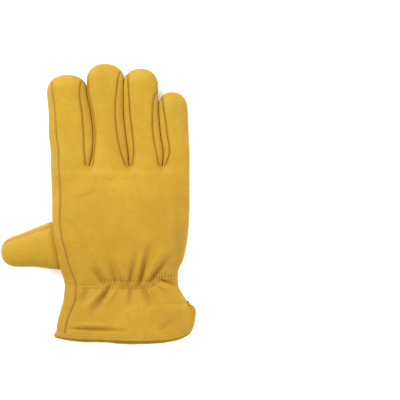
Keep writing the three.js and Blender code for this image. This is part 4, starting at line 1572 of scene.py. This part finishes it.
class GLOVE_OT_wrist_elastic(GloveOperator, bpy.types.Operator):
    """Flat elastic sewn behind the gathers, inside the back"""

    bl_idname = "glove.wrist_elastic"
    bl_label = "Wrist elastic"

    def execute(self, context):
        form, seams, colours = self.parts(context)
        start = form.side_seam(form.wrist_y) + ELASTIC_START
        end = form.hand(form.wrist_y)["right"] - ELASTIC_END

        def place(column, row):
            x = mix(start, end, column / ELASTIC_COLUMNS)
            y = form.shirring(x) + seams.elastic_width * (row / ELASTIC_ROWS - 0.5)
            inner = form.top(x, y) - seams.leather - seams.seam_gap - ELASTIC_SINK
            return (x, y, inner + ELASTIC_RIB * math.cos(math.pi * row)), 0.0

        shape = plate(ELASTIC_COLUMNS, ELASTIC_ROWS, place)
        face_out(shape)
        finish = Finish("elastic_finish", Roughness=0.85)
        weave = finish.texture("ShaderNodeTexWave", 900.0)
        tape = finish.paint(
            finish.blend(weave["Fac"], list(colours.elastic), darker(colours.elastic, 0.75))
        )
        wall = seams.elastic_thickness
        finish_piece("elastic_band", shape, tape, ["wrist_elastic"], wall=wall)
        return {"FINISHED"}


SLOPE_STEP = 0.4 * MM


def top_normal(form, x, y):
    step = SLOPE_STEP
    rise_x = (form.top(x + step, y) - form.top(x - step, y)) / (2 * step)
    rise_y = (form.top(x, y + step) - form.top(x, y - step)) / (2 * step)
    return Vector((-rise_x, -rise_y, 1)).normalized()


def sew(threads, path, seams, slant=0.0, pitch=None, samples=700):
    """Lays stitches along a path. path gives the point and the outward direction at a place from 0 to 1."""
    line = [path(step / samples) for step in range(samples + 1)]
    pitch = pitch or seams.stitch_pitch
    stitch = seams.stitch_length * pitch / seams.stitch_pitch
    walked, due = 0.0, pitch / 2
    for (here, outward), (ahead, _) in zip(line, line[1:]):
        span = (ahead - here).length
        while due <= walked + span and span > 0:
            along = (ahead - here).normalized()
            side = outward.cross(along).normalized()
            along = (along + side * slant).normalized()
            side = outward.cross(along).normalized()
            up = along.cross(side)
            centre = here.lerp(ahead, (due - walked) / span)
            made = bmesh.ops.create_uvsphere(threads, u_segments=6, v_segments=5, radius=0.5)
            turn = Matrix((up * seams.thread_width * 0.8, side * seams.thread_width, along * stitch))
            place = Matrix.Translation(centre) @ turn.transposed().to_4x4()
            bmesh.ops.transform(threads, matrix=place, verts=made["verts"])
            due += pitch
        walked += span


def thread_finish(name, tint):
    """Twisted sewing thread: matt, with fine ply lines."""
    finish = Finish(name, Roughness=0.8)
    ply = finish.texture("ShaderNodeTexNoise", 1500.0)
    return finish.paint(finish.blend(ply["Fac"], darker(tint, 0.62), list(tint)))


# Where the stitches run: clear of each seam's ends, a little off its edge, and sunk into the hide.
# The hem's two runs are shares of the binding's loop, on the back and on the palm
SEAM_END = 5 * MM
OFF_SEAM = 0.75 * MM
SEAM_SINK = 0.30 * MM
ROW_START = 2.5 * MM
ROW_END = 3.5 * MM
ROW_SINK = 0.1 * MM
HEM_RUNS = ((0.002, 0.488), (0.512, 0.998))
HEM_ROW_PLACE = 0.64
HEM_SINK = 0.22 * MM


class GLOVE_OT_threads(GloveOperator, bpy.types.Operator):
    """Stitches of the side seam, of the two gathered rows at the wrist and of the bound hem"""

    bl_idname = "glove.threads"
    bl_label = "Threads"

    def execute(self, context):
        form, seams, colours = self.parts(context)

        def on_back(x, y, sink):
            return Vector((x, y, form.top(x, y) - sink)), top_normal(form, x, y)

        def side_path(part):
            hem_y = form.hem_point(form.seam_turn, "back")[1] + SEAM_END
            y = mix(form.crotch_y + form.lengths[0] - SEAM_END, hem_y, part)
            return on_back(form.side_seam(y) - OFF_SEAM, y, SEAM_SINK)

        threads = bmesh.new()
        sew(threads, side_path, seams, slant=0.25, pitch=seams.side_stitch_pitch)
        finish_piece("side_seam_thread", threads, thread_finish("side_thread_finish", colours.side_thread))

        threads = bmesh.new()
        for side in (-1, 1):

            def wrist_path(part, side=side):
                start = form.side_seam(form.wrist_y) + ROW_START
                x = mix(start, form.hand(form.wrist_y)["right"] - ROW_END, part)
                y = form.shirring(x) + side * form.shirring_half(x)
                return on_back(x, y, seams.gather_sink + ROW_SINK)

            sew(threads, wrist_path, seams)
        finish_piece("gathers_thread", threads, thread_finish("gathers_thread_finish", colours.thread))

        threads = bmesh.new()
        half_height = seams.leather / 2 + seams.binding_leather

        def hem_thread_path(part):
            run = 0 if part < 0.5 else 1
            along = mix(*HEM_RUNS[run], part * 2 - run)
            point, outward = hem_path(form, along, seams.binding_width * HEM_ROW_PLACE)
            return point + outward * (half_height - seams.leather / 2 - HEM_SINK), outward

        sew(threads, hem_thread_path, seams, samples=1400)
        finish_piece("hem_thread", threads, thread_finish("hem_thread_finish", colours.thread))
        return {"FINISHED"}


STUDIO_LIGHT = 0.72
FLOOR_GLOW = 0.34
FLOOR_SIZE = 3.0
LAMPS = table(
    "name place width power",
    ("key", (-0.60, 0.75, 0.75), 0.6, 15.0),
    ("fill", (0.95, -0.20, 0.75), 0.9, 7.4),
)
CAMERA_PLACE = (0.07155, 0.0225, 1.8)
FRAME_WIDTH = 0.360


class GLOVE_OT_stage(GloveOperator, bpy.types.Operator):
    """Plain pale floor, soft light and a camera that looks straight down"""

    bl_idname = "glove.stage"
    bl_label = "Stage"

    def execute(self, context):
        scene = context.scene
        _, _, colours = self.parts(context)
        scene.view_settings.view_transform = "Standard"
        world = bpy.data.worlds.new("studio")
        world.use_nodes = True
        background = world.node_tree.nodes["Background"].inputs
        background["Color"].default_value = (1, 1, 1, 1)
        background["Strength"].default_value = STUDIO_LIGHT
        scene.world = world

        floor_mesh = bpy.data.meshes.new("floor")
        ground = bmesh.new()
        bmesh.ops.create_grid(ground, x_segments=1, y_segments=1, size=FLOOR_SIZE)
        ground.to_mesh(floor_mesh)
        ground.free()
        floor = bpy.data.objects.new("floor", floor_mesh)
        scene.collection.objects.link(floor)
        paint = Finish(
            "floor_paint",
            Base_Color=colours.floor,
            Roughness=0.9,
            Specular_IOR_Level=0.1,
            Emission_Color=(1, 1, 1, 1),
            Emission_Strength=FLOOR_GLOW,
        )
        floor_mesh.materials.append(paint.material)

        for row in LAMPS:
            lamp = bpy.data.lights.new(row["name"], "AREA")
            lamp.size = row["width"]
            lamp.energy = row["power"]
            lamp_object = bpy.data.objects.new(row["name"], lamp)
            scene.collection.objects.link(lamp_object)
            lamp_object.location = row["place"]
            lamp_object.rotation_euler = (-Vector(row["place"])).to_track_quat("-Z", "Y").to_euler()

        camera = bpy.data.cameras.new("camera")
        camera.sensor_width = 36.0
        camera.lens = camera.sensor_width * CAMERA_PLACE[2] / FRAME_WIDTH
        camera.clip_end = 20.0
        camera_object = bpy.data.objects.new("camera", camera)
        scene.collection.objects.link(camera_object)
        camera_object.location = CAMERA_PLACE
        scene.camera = camera_object
        return {"FINISHED"}


OPERATORS = (
    GLOVE_OT_back_panel,
    GLOVE_OT_palm_panel,
    GLOVE_OT_fourchettes,
    GLOVE_OT_thumb,
    GLOVE_OT_cuff_binding,
    GLOVE_OT_wrist_elastic,
    GLOVE_OT_threads,
    GLOVE_OT_stage,
)


class GLOVE_PT_sidebar(bpy.types.Panel):
    """Lists the glove's pieces"""

    bl_label = "Leather glove"
    bl_idname = "GLOVE_PT_sidebar"
    bl_space_type = "VIEW_3D"
    bl_region_type = "UI"
    bl_category = "Glove"

    def draw(self, context):
        for operator in OPERATORS:
            self.layout.operator(operator.bl_idname)


CLASSES = (GloveSizes, SeamSizes, GloveColours, *OPERATORS, GLOVE_PT_sidebar)
GROUPS = {"glove_sizes": GloveSizes, "glove_seams": SeamSizes, "glove_colours": GloveColours}


def register():
    for cls in CLASSES:
        bpy.utils.register_class(cls)
    for name, group in GROUPS.items():
        setattr(bpy.types.Scene, name, bpy.props.PointerProperty(type=group))


def unregister():
    for name in GROUPS:
        delattr(bpy.types.Scene, name)
    for cls in reversed(CLASSES):
        bpy.utils.unregister_class(cls)


def main():
    register()
    for operator in OPERATORS:
        group, name = operator.bl_idname.split(".")
        getattr(getattr(bpy.ops, group), name)()
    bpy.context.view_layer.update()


if __name__ == "__main__":
    main()
